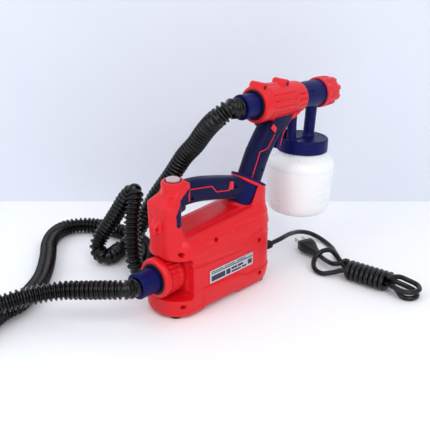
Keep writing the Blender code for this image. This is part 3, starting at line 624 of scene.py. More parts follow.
def squarish(half_u: float, half_v: float, square: float = 2.4) -> Callable[[int, float],
                                                                            tuple[float, float]]:
    """A section between an ellipse and a rectangle.

    Args:
        half_u: Half its size on the first axis.
        half_v: Half its size on the second axis.
        square: Its exponent: 2 is an ellipse, and more is squarer.

    Returns:
        The section, as sleeve takes it.
    """
    def section(_: int, a: float) -> tuple[float, float]:
        """The offsets at angle a."""
        c, s = math.cos(a), math.sin(a)
        return (math.copysign(abs(c) ** (2 / square), c) * half_u,
                math.copysign(abs(s) ** (2 / square), s) * half_v)
    return section


def slab(name: str, outline: Points, low: float, high: float, place: Matrix) -> bpy.types.Object:
    """An outline of (x, z) made solid from y = low to y = high."""
    return loft(name, [[(x, y, z) for x, z in outline] for y in (low, high)], place)


def block(name: str, low: Sequence[float], high: Sequence[float], place: Matrix) -> bpy.types.Object:
    """A plain cutter between two corners."""
    return slab(name, ((low[0], low[2]), (high[0], low[2]), (high[0], high[2]), (low[0], high[2])), low[1],
                high[1],
                place)


def surface_line(trim: Points, line: Sequence[Vector], size: tuple[float, float, float],
                 side: Side) -> list[Vector]:
    """A trim's middle line laid on the surface of a squarish grip.

    Args:
        trim: The trim's corners, as (x, z).
        line: The grip's middle line.
        size: The grip's two half sizes and its squareness.
        side: The side that the trim is on.

    Returns:
        Points along the trim.
    """
    tall, thick, square = size
    flat = [(a[0] + (b[0] - a[0]) * t, 0.0, a[1] + (b[1] - a[1]) * t) for a, b in zip(trim, trim[1:])
            for t in (0.03, 0.15, 0.5, 0.85, 0.97)]
    laid = []
    for spot in smooth_line(flat, 1.2):
        off = min(min((spot - knot).length for knot in line) / tall, 0.97)
        laid.append(Vector((spot.x, side.value * (thick * (1 - off ** square) ** (1 / square) - 0.1),
                            spot.z)))
    return laid


def settle(piece: bpy.types.Object) -> bpy.types.Object:
    """Makes the modifiers of a piece part of its mesh.

    Args:
        piece: The piece.

    Returns:
        The piece.
    """
    bpy.context.view_layer.update()
    shaped = bpy.data.meshes.new_from_object(piece.evaluated_get(bpy.context.evaluated_depsgraph_get()))
    piece.modifiers.clear()
    old, piece.data = piece.data, shaped
    bpy.data.meshes.remove(old)
    return piece


def carve(piece: bpy.types.Object, tools: Sequence[bpy.types.Object],
          how: str = "DIFFERENCE") -> bpy.types.Object:
    """Cuts the tools out of a piece, or joins or intersects them with it, and removes them.

    Args:
        piece: The piece.
        tools: Closed solids.
        how: The boolean operation.

    Returns:
        The piece.
    """
    for tool in tools:
        step = piece.modifiers.new(how, "BOOLEAN")
        step.operation, step.solver, step.object = how, "MANIFOLD", tool
        settle(piece)
        bpy.data.objects.remove(tool)
    return piece


def merge(name: str, parts: Sequence[bpy.types.Object]) -> bpy.types.Object:
    """Puts the meshes of several parts in one object, and removes them.

    Args:
        name: The object's name.
        parts: The parts.

    Returns:
        The new object.
    """
    work = bmesh.new()
    for part in parts:
        work.from_mesh(part.data)
    mesh = bpy.data.meshes.new(name)
    work.to_mesh(mesh)
    work.free()
    for part in parts:
        bpy.data.objects.remove(part)
    made = bpy.data.objects.new(name, mesh)
    bpy.context.collection.objects.link(made)
    return made


def skin(name: str, parts: Sequence[bpy.types.Object], cuts: Sequence[bpy.types.Object], voxel: float,
         passes: int) -> bpy.types.Object:
    """One moulded skin over overlapping parts, with its inner corners filled and its edges rounded.

    Args:
        name: The object's name.
        parts: Closed solids that overlap.
        cuts: Solids taken away before the edges are rounded.
        voxel: The remeshing step in millimetres.
        passes: How many times it is smoothed.

    Returns:
        The new object.
    """
    made = merge(name, parts)
    for tools in (cuts, ()):
        step = made.modifiers.new("skin", "REMESH")
        step.mode, step.voxel_size = "VOXEL", voxel * MM
        settle(made)
        carve(made, tools)
        if not cuts:
            break
    step = made.modifiers.new("ease", "SMOOTH")
    step.factor, step.iterations = 0.5, passes
    return settle(made)


def swell_out(piece: bpy.types.Object, place: Matrix, amount: Callable[[Vector], float]) -> bpy.types.Object:
    """Moves each point along its normal by an amount in millimetres, from where it is in the frame of place.

    Args:
        piece: The piece.
        place: The frame, in millimetres.
        amount: The move, from a spot in that frame.

    Returns:
        The piece.
    """
    back = place.inverted()
    piece.data.update()
    normals = [n.vector.copy() for n in piece.data.vertex_normals]
    for vertex, normal in zip(piece.data.vertices, normals):
        vertex.co = vertex.co + normal * amount(back @ (vertex.co / MM)) * MM
    return piece


def duplicate(piece: bpy.types.Object, name: str) -> bpy.types.Object:
    """A separate object with its own copy of the mesh."""
    made = bpy.data.objects.new(name, piece.data.copy())
    bpy.context.collection.objects.link(made)
    return made


def half_of(piece: bpy.types.Object, name: str, side: Side, place: Matrix = UNIT) -> bpy.types.Object:
    """The half of a piece on one side of the seam."""
    low, high = sorted((side.value * SEAM, side.value * 400.0))
    return carve(duplicate(piece, name), [block("keep", (-600, low, -600), (600, high, 600), place)],
                 "INTERSECT")


def soften(piece: bpy.types.Object, width: float, steps: int = 3, angle: float = 35.0) -> bpy.types.Object:
    """Rounds the sharp edges of a piece."""
    step = piece.modifiers.new("round", "BEVEL")
    step.width, step.segments, step.angle_limit = width * MM, steps, math.radians(angle)
    step.use_clamp_overlap = True
    return settle(piece)


def along_x(x: float, y: float = 0.0, z: float = 0.0) -> Matrix:
    """Turns a shape drawn along z to run along +x."""
    return Matrix.Translation((x, y, z)) @ Matrix.Rotation(math.pi / 2, 4, "Y")


def along_y(x: float, y: float, z: float) -> Matrix:
    """Turns a shape drawn along z to run along +y."""
    return Matrix.Translation((x, y, z)) @ Matrix.Rotation(-math.pi / 2, 4, "X")


def on_line(line: Points, x: float) -> float:
    """The height of a line of (x, z) at x, level beyond its ends.

    Args:
        line: The line, from left to right.
        x: Where.

    Returns:
        The height.
    """
    if x <= line[0][0]:
        return line[0][1]
    for (xa, za), (xb, zb) in zip(line, line[1:]):
        if x <= xb:
            return za + (zb - za) * (x - xa) / (xb - xa)
    return line[-1][1]


def ramp(value: float, low: float, high: float) -> float:
    """Goes smoothly from 0 at low to 1 at high."""
    t = min(max((value - low) / (high - low), 0.0), 1.0)
    return t * t * (3 - 2 * t)


def hump(value: float, width: float) -> float:
    """One at 0, falling to almost nothing at width."""
    return math.exp(-(value / width * 1.8) ** 2)


def finish_piece(piece: bpy.types.Object, finish: Finish, body: str, nodes: Sequence[str] = (),
                 angle: float = 40.0) -> bpy.types.Object:
    """Gives a piece its finish and its body.

    Args:
        piece: The mesh piece.
        finish: Its finish.
        body: The body that it rides on.
        nodes: The CAD nodes that it stands for.
        angle: Edges sharper than this stay sharp, in degrees.

    Returns:
        The piece.
    """
    if not any(piece.data.materials):
        piece.data.materials.clear()
        piece.data.materials.append(finish.material())
    piece.data.shade_smooth()
    piece.data.set_sharp_from_angle(angle=math.radians(angle))
    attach(piece, body)
    if nodes:
        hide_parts(*nodes)
    LOG.info("%s rides on %s", piece.name, body)
    return piece


# ---- Base unit ----

HANDLE_PATH = ((-60, 158), (-37, 157.5), (-14, 155), (14, 149), (43, 141.5), (60, 136.5))


@dataclass
class BaseUnit:
    """The red clamshell housing with its column, post, foot blocks and holster wall."""

    left: float = -88.0
    right: float = 98.0
    half: float = 40.0
    top: float = 117.0
    foot: float = 2.5
    post_x: float = -60.0
    post_r: float = 15.4
    post_top: float = 178.5
    voxel: float = 1.15
    screws: Points = ((-75, 91), (-22, 97), (60, 70), (-78, 20), (62, 20))
    waist_line: Points = ((-71, 76), (-54, 71), (20, 69), (36, 79), (64, 86), (98, 89))
    shoulder_line: Points = ((-50, 96), (-21, 95), (7, 94), (14, 103), (63, 102), (98, 102))
    facet_line: Points = ((-87, 109), (-32, 79), (-18, 74), (20, 70))
    skirt_line: Points = ((-49, 36), (21, 33), (35, 25), (66, 26), (98, 28))
    inlay: Points = ((-46, 170), (-51, 167), (-69.6, 152.2), (-76.6, 141), (-75.3, 127.2), (-72, 124.4),
                     (-50, 124.4),
                     (-50, 160))

    def rings(self) -> list[Points]:
        """The main body from its underside to its crown, which rises towards the holster.

        Returns:
            The rings, from the lowest up.
        """
        levels = ((self.foot, -90, 94, 34), (5, -92, 95.5, 36.3), (9, -93, 96.5, 37.8), (26, -93.5, 98, 39.6),
                  (60, -88, 98, 40), (78, -88, 98, 40), (90, -87, 98, 38), (98, -87, 98, 35.5),
                  (106, -86, 98, 31),
                  (112, -84, 97, 25.5), (self.top - 0.6, -81, 95, 17))
        made = []
        for z, left, right, half in levels:
            rise = 0.075 * max(z - 78, 0) / 39
            made.append([(x, y, h + rise * (x - 10)) for x, y, h in
                         rounded(left, right, half, min(half - 2, 32), z, steps=14)])
        return made

    def parts(self) -> list[bpy.types.Object]:
        """The overlapping solids of the housing.

        Returns:
            The closed solids, to be made one skin.
        """
        column = loft("column", [rounded(self.left, -46, 31, 24, 84, far=10),
                                 rounded(self.left, -56, 24.5, 15, 108, far=12),
                                 rounded(self.left, -61, 22.5, 9, 125, far=12),
                                 rounded(self.left, -61, 22.3, 7, 152.5, far=12),
                                 rounded(self.left + 12, -58, 15, 7, 162, far=10)], UNIT)
        post = turned("post", ((0, 140), (self.post_r, 140), (self.post_r, self.post_top - 1.5),
                               (self.post_r - 1.5, self.post_top + 0.2), (0, self.post_top + 0.2)),
                      UNIT @ Matrix.Translation((self.post_x, 0, 0)))
        gusset = slab("gusset", ((-84, 148), (-67, 166), (-53, 177.5), (-46.5, 177), (-45.5, 172), (-46, 152),
                                 (-58, 147), (-62, 141), (-62, 118), (-80, 118)), -16.5, 16.5, UNIT)
        lug = slab("lug", ((-98, 119), (-95, 116.5), (-84, 116.5), (-84, 132.5), (-91, 132.5), (-98, 126)),
                   -5.5, 5.5,
                   UNIT)
        wall = loft("wall", [rounded(50, 98.5, 33, 8, 92, far=26), rounded(50, 98.5, 29, 8, 104, far=24),
                             rounded(52, 99.5, 25, 8, 118, far=21), rounded(54, 100.5, 24, 8, 134, far=20),
                             rounded(54, 101.5, 23.5, 8, 160, far=20)], UNIT)
        carve(wall, [block("over", (-200, -60, -3.4), (200, 60, 90), HOLSTER),
                     block("left", (-200, -60, -64), (-2.2, 60, 90), HOLSTER)])
        seat = turned("seat", ((0, -58), (24.5, -58), (24.8, -42), (23.6, -38), (0, -38)), HOLSTER)
        core = sleeve("core", smooth_line([(x, 0, z) for x, z in HANDLE_PATH], 6), squarish(11, 9.5, 2.0),
                      UNIT)
        return [loft("body", self.rings(), UNIT), column, post, gusset, lug, wall, seat, core]

    def relief(self, spot: Vector) -> float:
        """How far the surface stands out at a spot, for its creases, panels and louvre grooves.

        Args:
            spot: The spot, in the base unit's frame.

        Returns:
            The move along the normal, in millimetres.
        """
        x, y, z = spot
        side = ramp(abs(y), 20, 30)
        face = side * ramp(x, -74, -66) * ramp(z, 10, 16)
        waist = z - on_line(self.waist_line, x)
        step = 1.9 * ramp(waist, -1.2, 1.6) - 1.3 * hump(waist + 1.2, 2.0) - 0.9
        step += 1.4 * ramp(z - on_line(self.shoulder_line, x), -1.6, 2.4) * ramp(x, -50, -30)
        drop = on_line(self.facet_line, x) - z
        step -= 0.13 * min(max(drop, 0.0), 20.0) * ramp(waist, 0, 3) * ramp(-x, -20, 0)
        skirt = on_line(self.skirt_line, x) - z
        step += (1.5 * ramp(skirt, -1.0, 1.4) - 1.1 * hump(skirt + 0.8, 2.0)) * ramp(x, -49, -44)
        step -= 1.1 * ramp(-45 - x, -1, 1.2) * ramp(-waist, 0, 2) * ramp(-skirt, 0, 2)
        grooves = sum(hump(z - level, 1.5) for level in (37, 44, 51, 58, 65, 72, 79))
        return step * face - 2.6 * grooves * ramp(x, 76, 80) * ramp(60 - abs(y), 0, 2)

    def room(self) -> bpy.types.Object:
        """The hollow inside the two shells, with the screw pillars left standing.

        Returns:
            The hollow, as a solid.
        """
        main = loft("room", [rounded(-60, 94.5, 33, 24, 11), rounded(-60, 94.5, 36, 30, 26),
                             rounded(-60, 94.5, 36, 30, 76), rounded(-60, 94.5, 32, 28, 92),
                             rounded(-60, 94, 26, 22, 102), rounded(-60, 92, 16, 14, self.top - 8)], UNIT)
        upper = loft("upper", [rounded(-84, -56, 26, 19, 85, far=6), rounded(-84, -60, 19, 15, 108, far=8),
                               rounded(-84, -65, 17.5, 14, 125, far=5),
                               rounded(-84, -65, 17.5, 14, 148, far=5)],
                     UNIT)
        toe = loft("toe", [rounded(-87, -54, 31, 24, 12, far=6), rounded(-88, -54, 34, 26, 24, far=6)], UNIT)
        carve(main, [upper, toe], "UNION")
        return carve(main, [turned("pillar", ((0, -60), (5, -60), (5, 60), (0, 60)), UNIT @ along_y(x, 0, z),
                                   24)
                            for x, z in self.screws])

    def build(self) -> None:
        """Builds the two shells and the intake grille."""
        notch = block("notch", (-140, -60, 28), (-64, 60, 82), UNIT)
        arch = slab("arch", ((-47, -5), (-42, 8), (22, 8), (27, -5)), -60, 60, UNIT)
        outer = skin("outer", self.parts(), [notch, arch], self.voxel, 5)
        swell_out(outer, UNIT, self.relief)
        grille = carve(duplicate(outer, "intake_grille_louvred"),
                       [block("window", (90, -24.7, 40.3), (110, 24.7, 83.7), UNIT)], "INTERSECT")
        hollow = self.room()
        slots = [block("slot", (80, -21, 44.5 + 7.4 * i), (110, 21, 48 + 7.4 * i), UNIT) for i in range(5)]
        carve(grille, [duplicate(hollow, "hollow")] + slots)
        finish_piece(grille, RED, "base", ["intake_grille"])

        holes = [turned("sink", ((0, -60), (3.3, -60), (3.3, -10), (1.8, -10), (1.8, 12), (0, 12)),
                        UNIT @ along_y(x, 0, z), 40) for x, z in self.screws]
        cups = [turned("rest", ((0, -80), (21.9, -80), (21.9, 30), (0, 30)), HOLSTER)]
        carve(outer, [
            hollow, *holes, *cups,
            turned("duct", ((0, 0), (21, 0), (21, 20), (0, 20)), UNIT @ along_x(-70, 0, DUCT_Z), 64),
            turned("switch", ((0, 130), (11.3, 130), (11.3, 190), (0, 190)),
                   UNIT @ Matrix.Translation((self.post_x, 0, 0)), 64),
            turned("strap", ((0, -9), (2.3, -9), (2.3, 9), (0, 9)), UNIT @ along_y(-93.5, 0, 124), 32),
            turned("lead", ((0, 80), (5.4, 80), (5.4, 120), (0, 120)), UNIT @ along_x(0, 0, 28), 32),
            block("vent", (90, -25, 40), (110, 25, 84), UNIT),
            block("plate", (-36.6, -60, 39.4), (46.6, -self.half + 0.1, 58.6), UNIT),
        ])
        for side, name in ((Side.FRONT, "front"), (Side.BACK, "back")):
            shell = half_of(outer, f"base_shell_{name}_moulded", side)
            shell.data.materials.clear()
            shell.data.materials.append(RED.material())
            shell.data.materials.append(NAVY_GRIP.material())
            self.colour_inlay(shell)
            finish_piece(shell, RED, "base", [f"base_shell_{name}"], 50)
        bpy.data.objects.remove(outer)

    def colour_inlay(self, shell: bpy.types.Object) -> None:
        """Gives the strip down the inside of the column the grip's finish.

        Args:
            shell: A base shell.
        """
        back = UNIT.inverted()
        for face in shell.data.polygons:
            spot = back @ (face.center / MM)
            if abs(spot.y) > 1 and spot.x < -45 and self.inside(spot.x, spot.z):
                face.material_index = 1

    def inside(self, x: float, z: float) -> bool:
        """Whether (x, z) lies in the inlay's outline.

        Args:
            x: Along the base.
            z: The height.

        Returns:
            True where it does.
        """
        hit = False
        for (xa, za), (xb, zb) in zip(self.inlay, self.inlay[1:] + self.inlay[:1]):
            if (za > z) != (zb > z) and x < (xb - xa) * (z - za) / (zb - za) + xa:
                hit = not hit
        return hit


@dataclass
class Handle:
    """The navy grip round the handle's core, with its red trim."""

    tall: float = 15.7
    thick: float = 14.0
    trim: Points = ((-47.5, 165.9), (-27.3, 162.9), (-5.9, 159.5), (2.8, 149.6), (27.0, 145.2))
    tab: Points = ((24.5, 146), (27.8, 157), (34.4, 155.6), (33.5, 144.6))

    def build(self) -> None:
        """Builds the two grip halves and the trim on both sides."""
        line = smooth_line([(x, 0, z) for x, z in HANDLE_PATH], 2.5)
        grip = sleeve("grip", line, squarish(self.tall, self.thick, 2.7), UNIT, 56)
        core = sleeve("core", smooth_line([(x, 0, z) for x, z in HANDLE_PATH], 6), squarish(11.6, 10.1, 2.0),
                      UNIT)
        carve(grip, [core, block("left", (-90, -40, 100), (-46.8, 40, 200), UNIT),
                     turned("post", ((0, 100), (15.8, 100), (15.8, 200), (0, 200)),
                            UNIT @ Matrix.Translation((-60, 0, 0))),
                     turned("cup", ((0, -80), (21.9, -80), (21.9, 30), (0, 30)), HOLSTER),
                     block("right", (-3, -60, -120), (120, 60, 90), HOLSTER)])
        holes = [turned("hole", ((0, -20), (2.4, -20), (2.4, -10.5), (0, -10.5)), UNIT @ along_y(x, 0, z), 32)
                 for x, z in ((-40.5, 152.5), (39.2, 146.4))]
        carve(grip, holes)
        for side, name in ((Side.FRONT, "front"), (Side.BACK, "back")):
            finish_piece(soften(half_of(grip, f"handle_grip_{name}_soft", side), 0.5, 2, 45), NAVY_GRIP,
                         "base",
                         [f"handle_grip_{name}"])
            y = side.value * (self.thick - 0.15)
            ribbon = surface_line(self.trim, line, (self.tall, self.thick, 2.7), side)
            strip = sleeve(f"handle_trim_{name}", ribbon, squarish(0.75, 0.55, 3.0), UNIT, 12,
                           Vector((0, 1, 0)))
            tab = soften(slab(f"handle_tab_{name}", self.tab, min(y, y + side.value * 0.6),
                              max(y, y + side.value * 0.6), UNIT), 0.3)
            finish_piece(merge(f"handle_trim_{name}", [strip, tab]), RED, "base")
        bpy.data.objects.remove(grip)


@dataclass
class Holster:
    """The navy cup that the gun's grip stands in, with its flange and the red rim below it."""

    radius_u: float = 21.5
    radius_v: float = 21.0
    flange_u: float = 27.5
    flange_v: float = 24.0
    depth: float = 52.0

    def oval(self, u: float, v: float, z: float) -> list[tuple[float, float, float]]:
        """An oval at height z of the cup's own frame."""
        angles = (2 * math.pi * i / 72 for i in range(72))
        return [(u * math.cos(a), v * math.sin(a), z) for a in angles]

    def build(self) -> None:
        """Builds the cup with its flange, and the rim."""
        cup = loft("holster_cup_moulded", [self.oval(self.radius_u - 1, self.radius_v - 1, -self.depth),
                                           self.oval(self.radius_u, self.radius_v, -self.depth + 2),
                                           self.oval(self.radius_u, self.radius_v, -3.2),
                                           self.oval(self.flange_u - 0.4, self.flange_v - 0.4, -3.0),
                                           self.oval(self.flange_u, self.flange_v, -2.4),
                                           self.oval(self.flange_u, self.flange_v, -0.6),
                                           self.oval(self.flange_u - 0.6, self.flange_v - 0.6, 0)], HOLSTER)
        hollow = loft("hollow", [rounded(-17.3, 17.3, 16, 10, z) for z in (3.2 - self.depth, 20)], HOLSTER)
        recess = loft("recess", [rounded(-20.5, 20.5, 18.5, 12, z) for z in (-0.9, 20)], HOLSTER)
        carve(cup, [hollow, recess])
        finish_piece(soften(cup, 0.25, 2, 50), NAVY, "base", ["holster_cup"])
        rim = loft("holster_rim", [self.oval(22.4, 21.6, -7.5), self.oval(25.6, 22.6, -6.2),
                                   self.oval(26.6, 23.4, -3.4)], HOLSTER)
        carve(rim, [turned("rest", ((0, -80), (21.9, -80), (21.9, 30), (0, 30)), HOLSTER)])
        finish_piece(soften(rim, 0.3, 2, 50), RED, "base")


@dataclass
class HoseOutlet:
    """The ribbed collar with its seal, and the cuff that turns in it."""

    mouth: float = -97.0
    radius: float = 26.5
    cuff_r: float = 17.0
    ribs: int = 26

    def rib(self, a: float, z: float) -> float:
        """The ribs that help the fingers, on the middle of the collar."""
        wave = max(0.0, math.cos(self.ribs * a)) ** 0.7
        return -1.5 * (1 - wave) * ramp(z, 9, 11) * ramp(-z, -27, -25)

    def build(self) -> None:
        """Builds the collar, the seal and the cuff."""
        place = UNIT @ along_x(self.mouth, 0, DUCT_Z)
        r = self.radius
        outer = [(r - 5.5, -0.2), (r - 2.4, 0.2), (r - 0.8, 1.4), (r, 3.2), (r + 0.2, 7), (r, 8.8)]
        outer += [(r - 0.2 - 0.06 * (z - 9), z) for z in (9, 10, 11, 14, 18, 22, 25, 26, 27)]
        outer += [(r - 1.2, 28.5), (r - 1.4, 31.5), (r - 2.2, 32.5)]
        inner = [(15, 32.7), (15, 27), (17.3, 27), (17.3, 4), (18.6, 3), (18.8, 0.4)]
        finish_piece(turned("outlet_collar_ribbed", outer + inner, place, 260, self.rib), RED, "base",
                     ["outlet_collar"], 50)
        seal = turned("outlet_seal", ((17.25, 0.2), (18.7, 0), (20.6, 0.1), (20.8, -0.9), (19.6, -1.6),
                                      (17.7, -1.4)),
                      place)
        finish_piece(seal, RUBBER, "base")
        cuff(UNIT @ along_x(CUFF_END, 0, DUCT_Z), "base_hose_cuff", "base_cuff", 55.5, self.cuff_r)


def cuff(place: Matrix, node: str, body: str, length: float, radius: float) -> None:
    """A hose cuff: a stepped navy sleeve with a rolled mouth over the hose's first turns."""
    outline = ((12, 0.8), (13.4, 0.2), (radius - 1.3, 0), (radius - 0.4, 0.5), (radius, 1.6),
               (radius - 0.3, 5),
               (radius - 0.3, length / 2), (radius, length - 8), (radius, length - 0.6),
               (radius - 0.6, length),
               (12, length))
    finish_piece(turned(f"{node}_moulded", outline, place), NAVY, body, [node])


@dataclass
class PushButton:
    """The translucent button on the post and its black bezel."""

    x: float = -60.0
    top: float = 182.2

    def build(self) -> None:
        """Builds the button and the bezel."""
        seat = UNIT @ Matrix.Translation((self.x, 0, 0))
        cap = ((0, 173), (9.1, 173), (9.2, 173.4), (9.2, 180.2), (8.9, 181.1), (8.1, 181.6), (5, 182),
               (0, self.top))
        finish_piece(turned("power_button_domed", cap, seat), CAP, "button", ["power_button"])
        bezel = ((9.7, 166), (11, 166), (11, 177.6), (10.8, 178.9), (10.2, 179.3), (9.75, 178.9))
        finish_piece(turned("button_bezel_turned", bezel, seat), BLACK, "base", ["button_bezel"])


@dataclass
class RatingPlate:
    """The silver plate on the front, with plain printed blocks and no lettering."""

    left: float = -36.0
    right: float = 46.0
    low: float = 40.0
    high: float = 58.0
    front: float = -40.45
    bars: Sequence[tuple[float, float, float, float]] = (
        (-33.5, 44.5, 52.4, 53.8), (-33.5, -8.0, 42.2, 49.8), (-6.0, 2.0, 42.2, 49.8),
        (4.0, 14.5, 46.6, 49.8),
        (16.0, 26.5, 46.6, 49.8), (4.0, 22.0, 42.2, 44.8), (24.5, 33.0, 42.2, 44.8), (36.0, 43.5, 43.0, 49.8),
        (-33.5, -12.0, 55.0, 56.2), (-9.0, 10.0, 55.0, 56.2), (14.0, 30.0, 55.0, 56.2),
    )

    def build(self) -> None:
        """Builds the plate and its printed blocks."""
        outline = [(x, z) for x, z, _ in rounded(self.left, self.right, (self.high - self.low) / 2, 1.6, 0.0,
                                                 steps=6, y_mid=(self.high + self.low) / 2)]
        plate = soften(slab("rating_plate", outline, self.front, self.front + 0.95, UNIT), 0.15, 2)
        finish_piece(plate, LABEL, "base", ["label_plate"])
        bars = [slab("bar", ((a, c), (b, c), (b, d), (a, d)), self.front - 0.12, self.front + 0.2, UNIT)
                for a, b, c, d in self.bars]
        finish_piece(merge("rating_plate_print", bars), PRINT, "base")


# ---- Mains lead ----

LEAD_ROUTE = ((140, 0, 28), (156, 1, 27.6), (178, 6, 25), (199, 11, 20), (217, 13, 15), (231, 8, 10.5),
              (237, -5, 6.5),
              (235, -22, 4), (226, -42, 3.6), (211, -61, 4.6))
HANK_MIDDLE = (171.5, -139.5)
HANK_RUN = (20.7, -152.6)


@dataclass
class MainsLead:
    """The lead from its strain relief through the wrapped hank to the plug, as one cord."""

    radius: float = 3.5
    exit: tuple[float, float, float] = (129.6, 0.0, 28.0)
    wraps: float = 8.5
    pitch: float = 7.3

    def hank_frame(self) -> Matrix:
        """The hank's own frame: x along it, away from the base."""
        turn = math.atan2(HANK_RUN[1], HANK_RUN[0])
        return Matrix.Translation((*HANK_MIDDLE, 0)) @ Matrix.Rotation(turn, 4, "Z")

    def hank_route(self) -> list[tuple[float, float, float]]:
        """The lead's run inside the hank, in the hank's frame.

        Returns:
            The route: the loops first, and then the wraps.
        """
        route = [(-52, 26, 8), (-40, 16, 11), (-29, 8, 13), (-10, 6.8, 13), (15, 6.8, 13), (36, 7.5, 12.6),
                 (48, 12, 9), (60, 15.5, 5), (71, 12, 3.8), (77, 1, 3.7), (73, -10, 3.7), (62, -13, 4.4),
                 (49, -6, 9), (36, -0.5, 12.6), (15, 0, 13), (-10, 0, 13), (-29, 1, 13), (-41, 7, 16),
                 (-53, 14, 21), (-65, 17, 25), (-76, 11, 22), (-80, -2, 14), (-73, -14, 6.5), (-59, -18, 3.9),
                 (-43, -13, 8), (-29, -7, 13), (-10, -6.8, 13), (15, -6.8, 13), (36, -8, 13.2), (50, -13, 14),
                 (64, -15, 13.2), (75, -7, 12.4), (78, 5, 12.3), (71, 15, 12.8), (58, 16, 15), (46, 9, 20)]
        turns = int(self.wraps * 14)
        for i in range(turns + 1):
            a = math.pi / 2 + 0.45 - 2 * math.pi * i / 14
            route.append((36 - self.pitch * i / 14, 14.6 * math.cos(a), 13 + 9.4 * math.sin(a)))
        return route

    def line(self) -> list[Vector]:
        """The whole middle line.

        Returns:
            The points, in the base unit's frame.
        """
        frame = self.hank_frame()
        hank = [tuple(frame @ Vector(p)) for p in self.hank_route()]
        tail = [tuple(frame @ Vector(p)) for p in ((-33, 10, 20), (-43, 5, 15), (-54, 3, 12.5))]
        tail += [tuple(Plug().place() @ Vector((0, 0, z))) for z in (-16, -5, 4)]
        return smooth_line([(120, 0, 28), self.exit] + list(LEAD_ROUTE) + hank + tail, 2.2)

    def build(self) -> None:
        """Builds the strain relief, the plug and the lead."""
        plug = Plug().build()
        relief = ((3.8, 0), (7.5, 0), (7.5, 3), (5.2, 3.4), (5.1, 8), (6.2, 8.6), (6.1, 12), (4.7, 12.6),
                  (4.7, 14.2),
                  (5.9, 14.8), (5.8, 17.6), (4.6, 18.2), (4.6, 19.8), (5.6, 20.4), (5.5, 23.2), (4.5, 23.8),
                  (4.5, 25.4), (5.3, 26), (5.3, 29), (5.9, 30.4), (6.3, 31), (6.3, 37.6), (5.6, 38.6),
                  (3.8, 38.6))
        finish_piece(turned("strain_relief_ribbed", relief, UNIT @ along_x(91, 0, 28), 64), RUBBER, "base",
                     ["strain_relief"])
        line = self.line()
        cord = sleeve("mains_lead", line, squarish(self.radius, self.radius, 2.0), UNIT, 16,
                      Vector((0, 0, 1)))
        finish_piece(cord, SHEATH, "base", ["power_lead", "lead_hank", "lead_tail"])
        LOG.info("mains lead %.0f mm", line_length(line))


@dataclass
class Plug:
    """The moulded two-pin plug."""

    spot: tuple[float, float, float] = (180.6, -51.2, 10.0)
    heading: float = 72.0
    pitch: float = -4.0

    def place(self) -> Matrix:
        """The plug's own frame: z out towards the pins."""
        return (Matrix.Translation(self.spot) @ Matrix.Rotation(math.radians(self.heading), 4, "Z")
                @ Matrix.Rotation(math.radians(self.pitch), 4, "Y") @ Matrix.Rotation(math.pi / 2, 4, "Y"))

    def build(self) -> list[bpy.types.Object]:
        """Builds the body and the pins.

        Returns:
            The three pieces.
        """
        place = UNIT @ self.place()
        rings = [rounded(-a, a, b, min(2.6, a - 0.3), z, steps=8) for a, b, z in
                 ((4.1, 4.3, -1), (4.6, 5.0, 0.5), (4.9, 5.6, 6), (5.2, 6.4, 10), (6.2, 9.2, 18),
                  (7.1, 11.8, 26),
                  (7.5, 12.4, 31), (7.5, 12.4, 35), (6.8, 11.8, 36.4), (7.2, 12, 37.2), (7.0, 11.8, 38))]
        body = loft("plug_body_moulded", rings, place)
        grooves = [block("groove", (-20, -20, z), (-4.6 - 0.02 * z, 20, z + 1.2), place) for z in (20, 23.5,
                                                                                                   27)]
        grooves += [block("groove", (4.6 + 0.02 * z, -20, z), (20, 20, z + 1.2), place) for z in (20, 23.5,
                                                                                                  27)]
        body = finish_piece(soften(carve(body, grooves), 0.25, 2, 50), BLACK, "base", ["plug_body"])
        pins = []
        for i, y in enumerate((-6.35, 6.35)):
            pin = loft(f"plug_pin_{i + 1}_stamped", [rounded(-3.1, 3.1, 0.75, 0.3, z, steps=3, y_mid=y)
                                                     for z in (37.6, 53.6)]
                       + [rounded(-2.2, 2.2, 0.45, 0.2, 55, steps=3, y_mid=y)], place)
            carve(pin, [turned("eye", ((0, -9), (1.5, -9), (1.5, 9), (0, 9)),
                               place @ along_y(0, y, 50), 24)])
            pins.append(finish_piece(pin, BRASS, "base", [f"plug_pin_{i + 1}"]))
        return [body, *pins]


# ---- Air hose ----

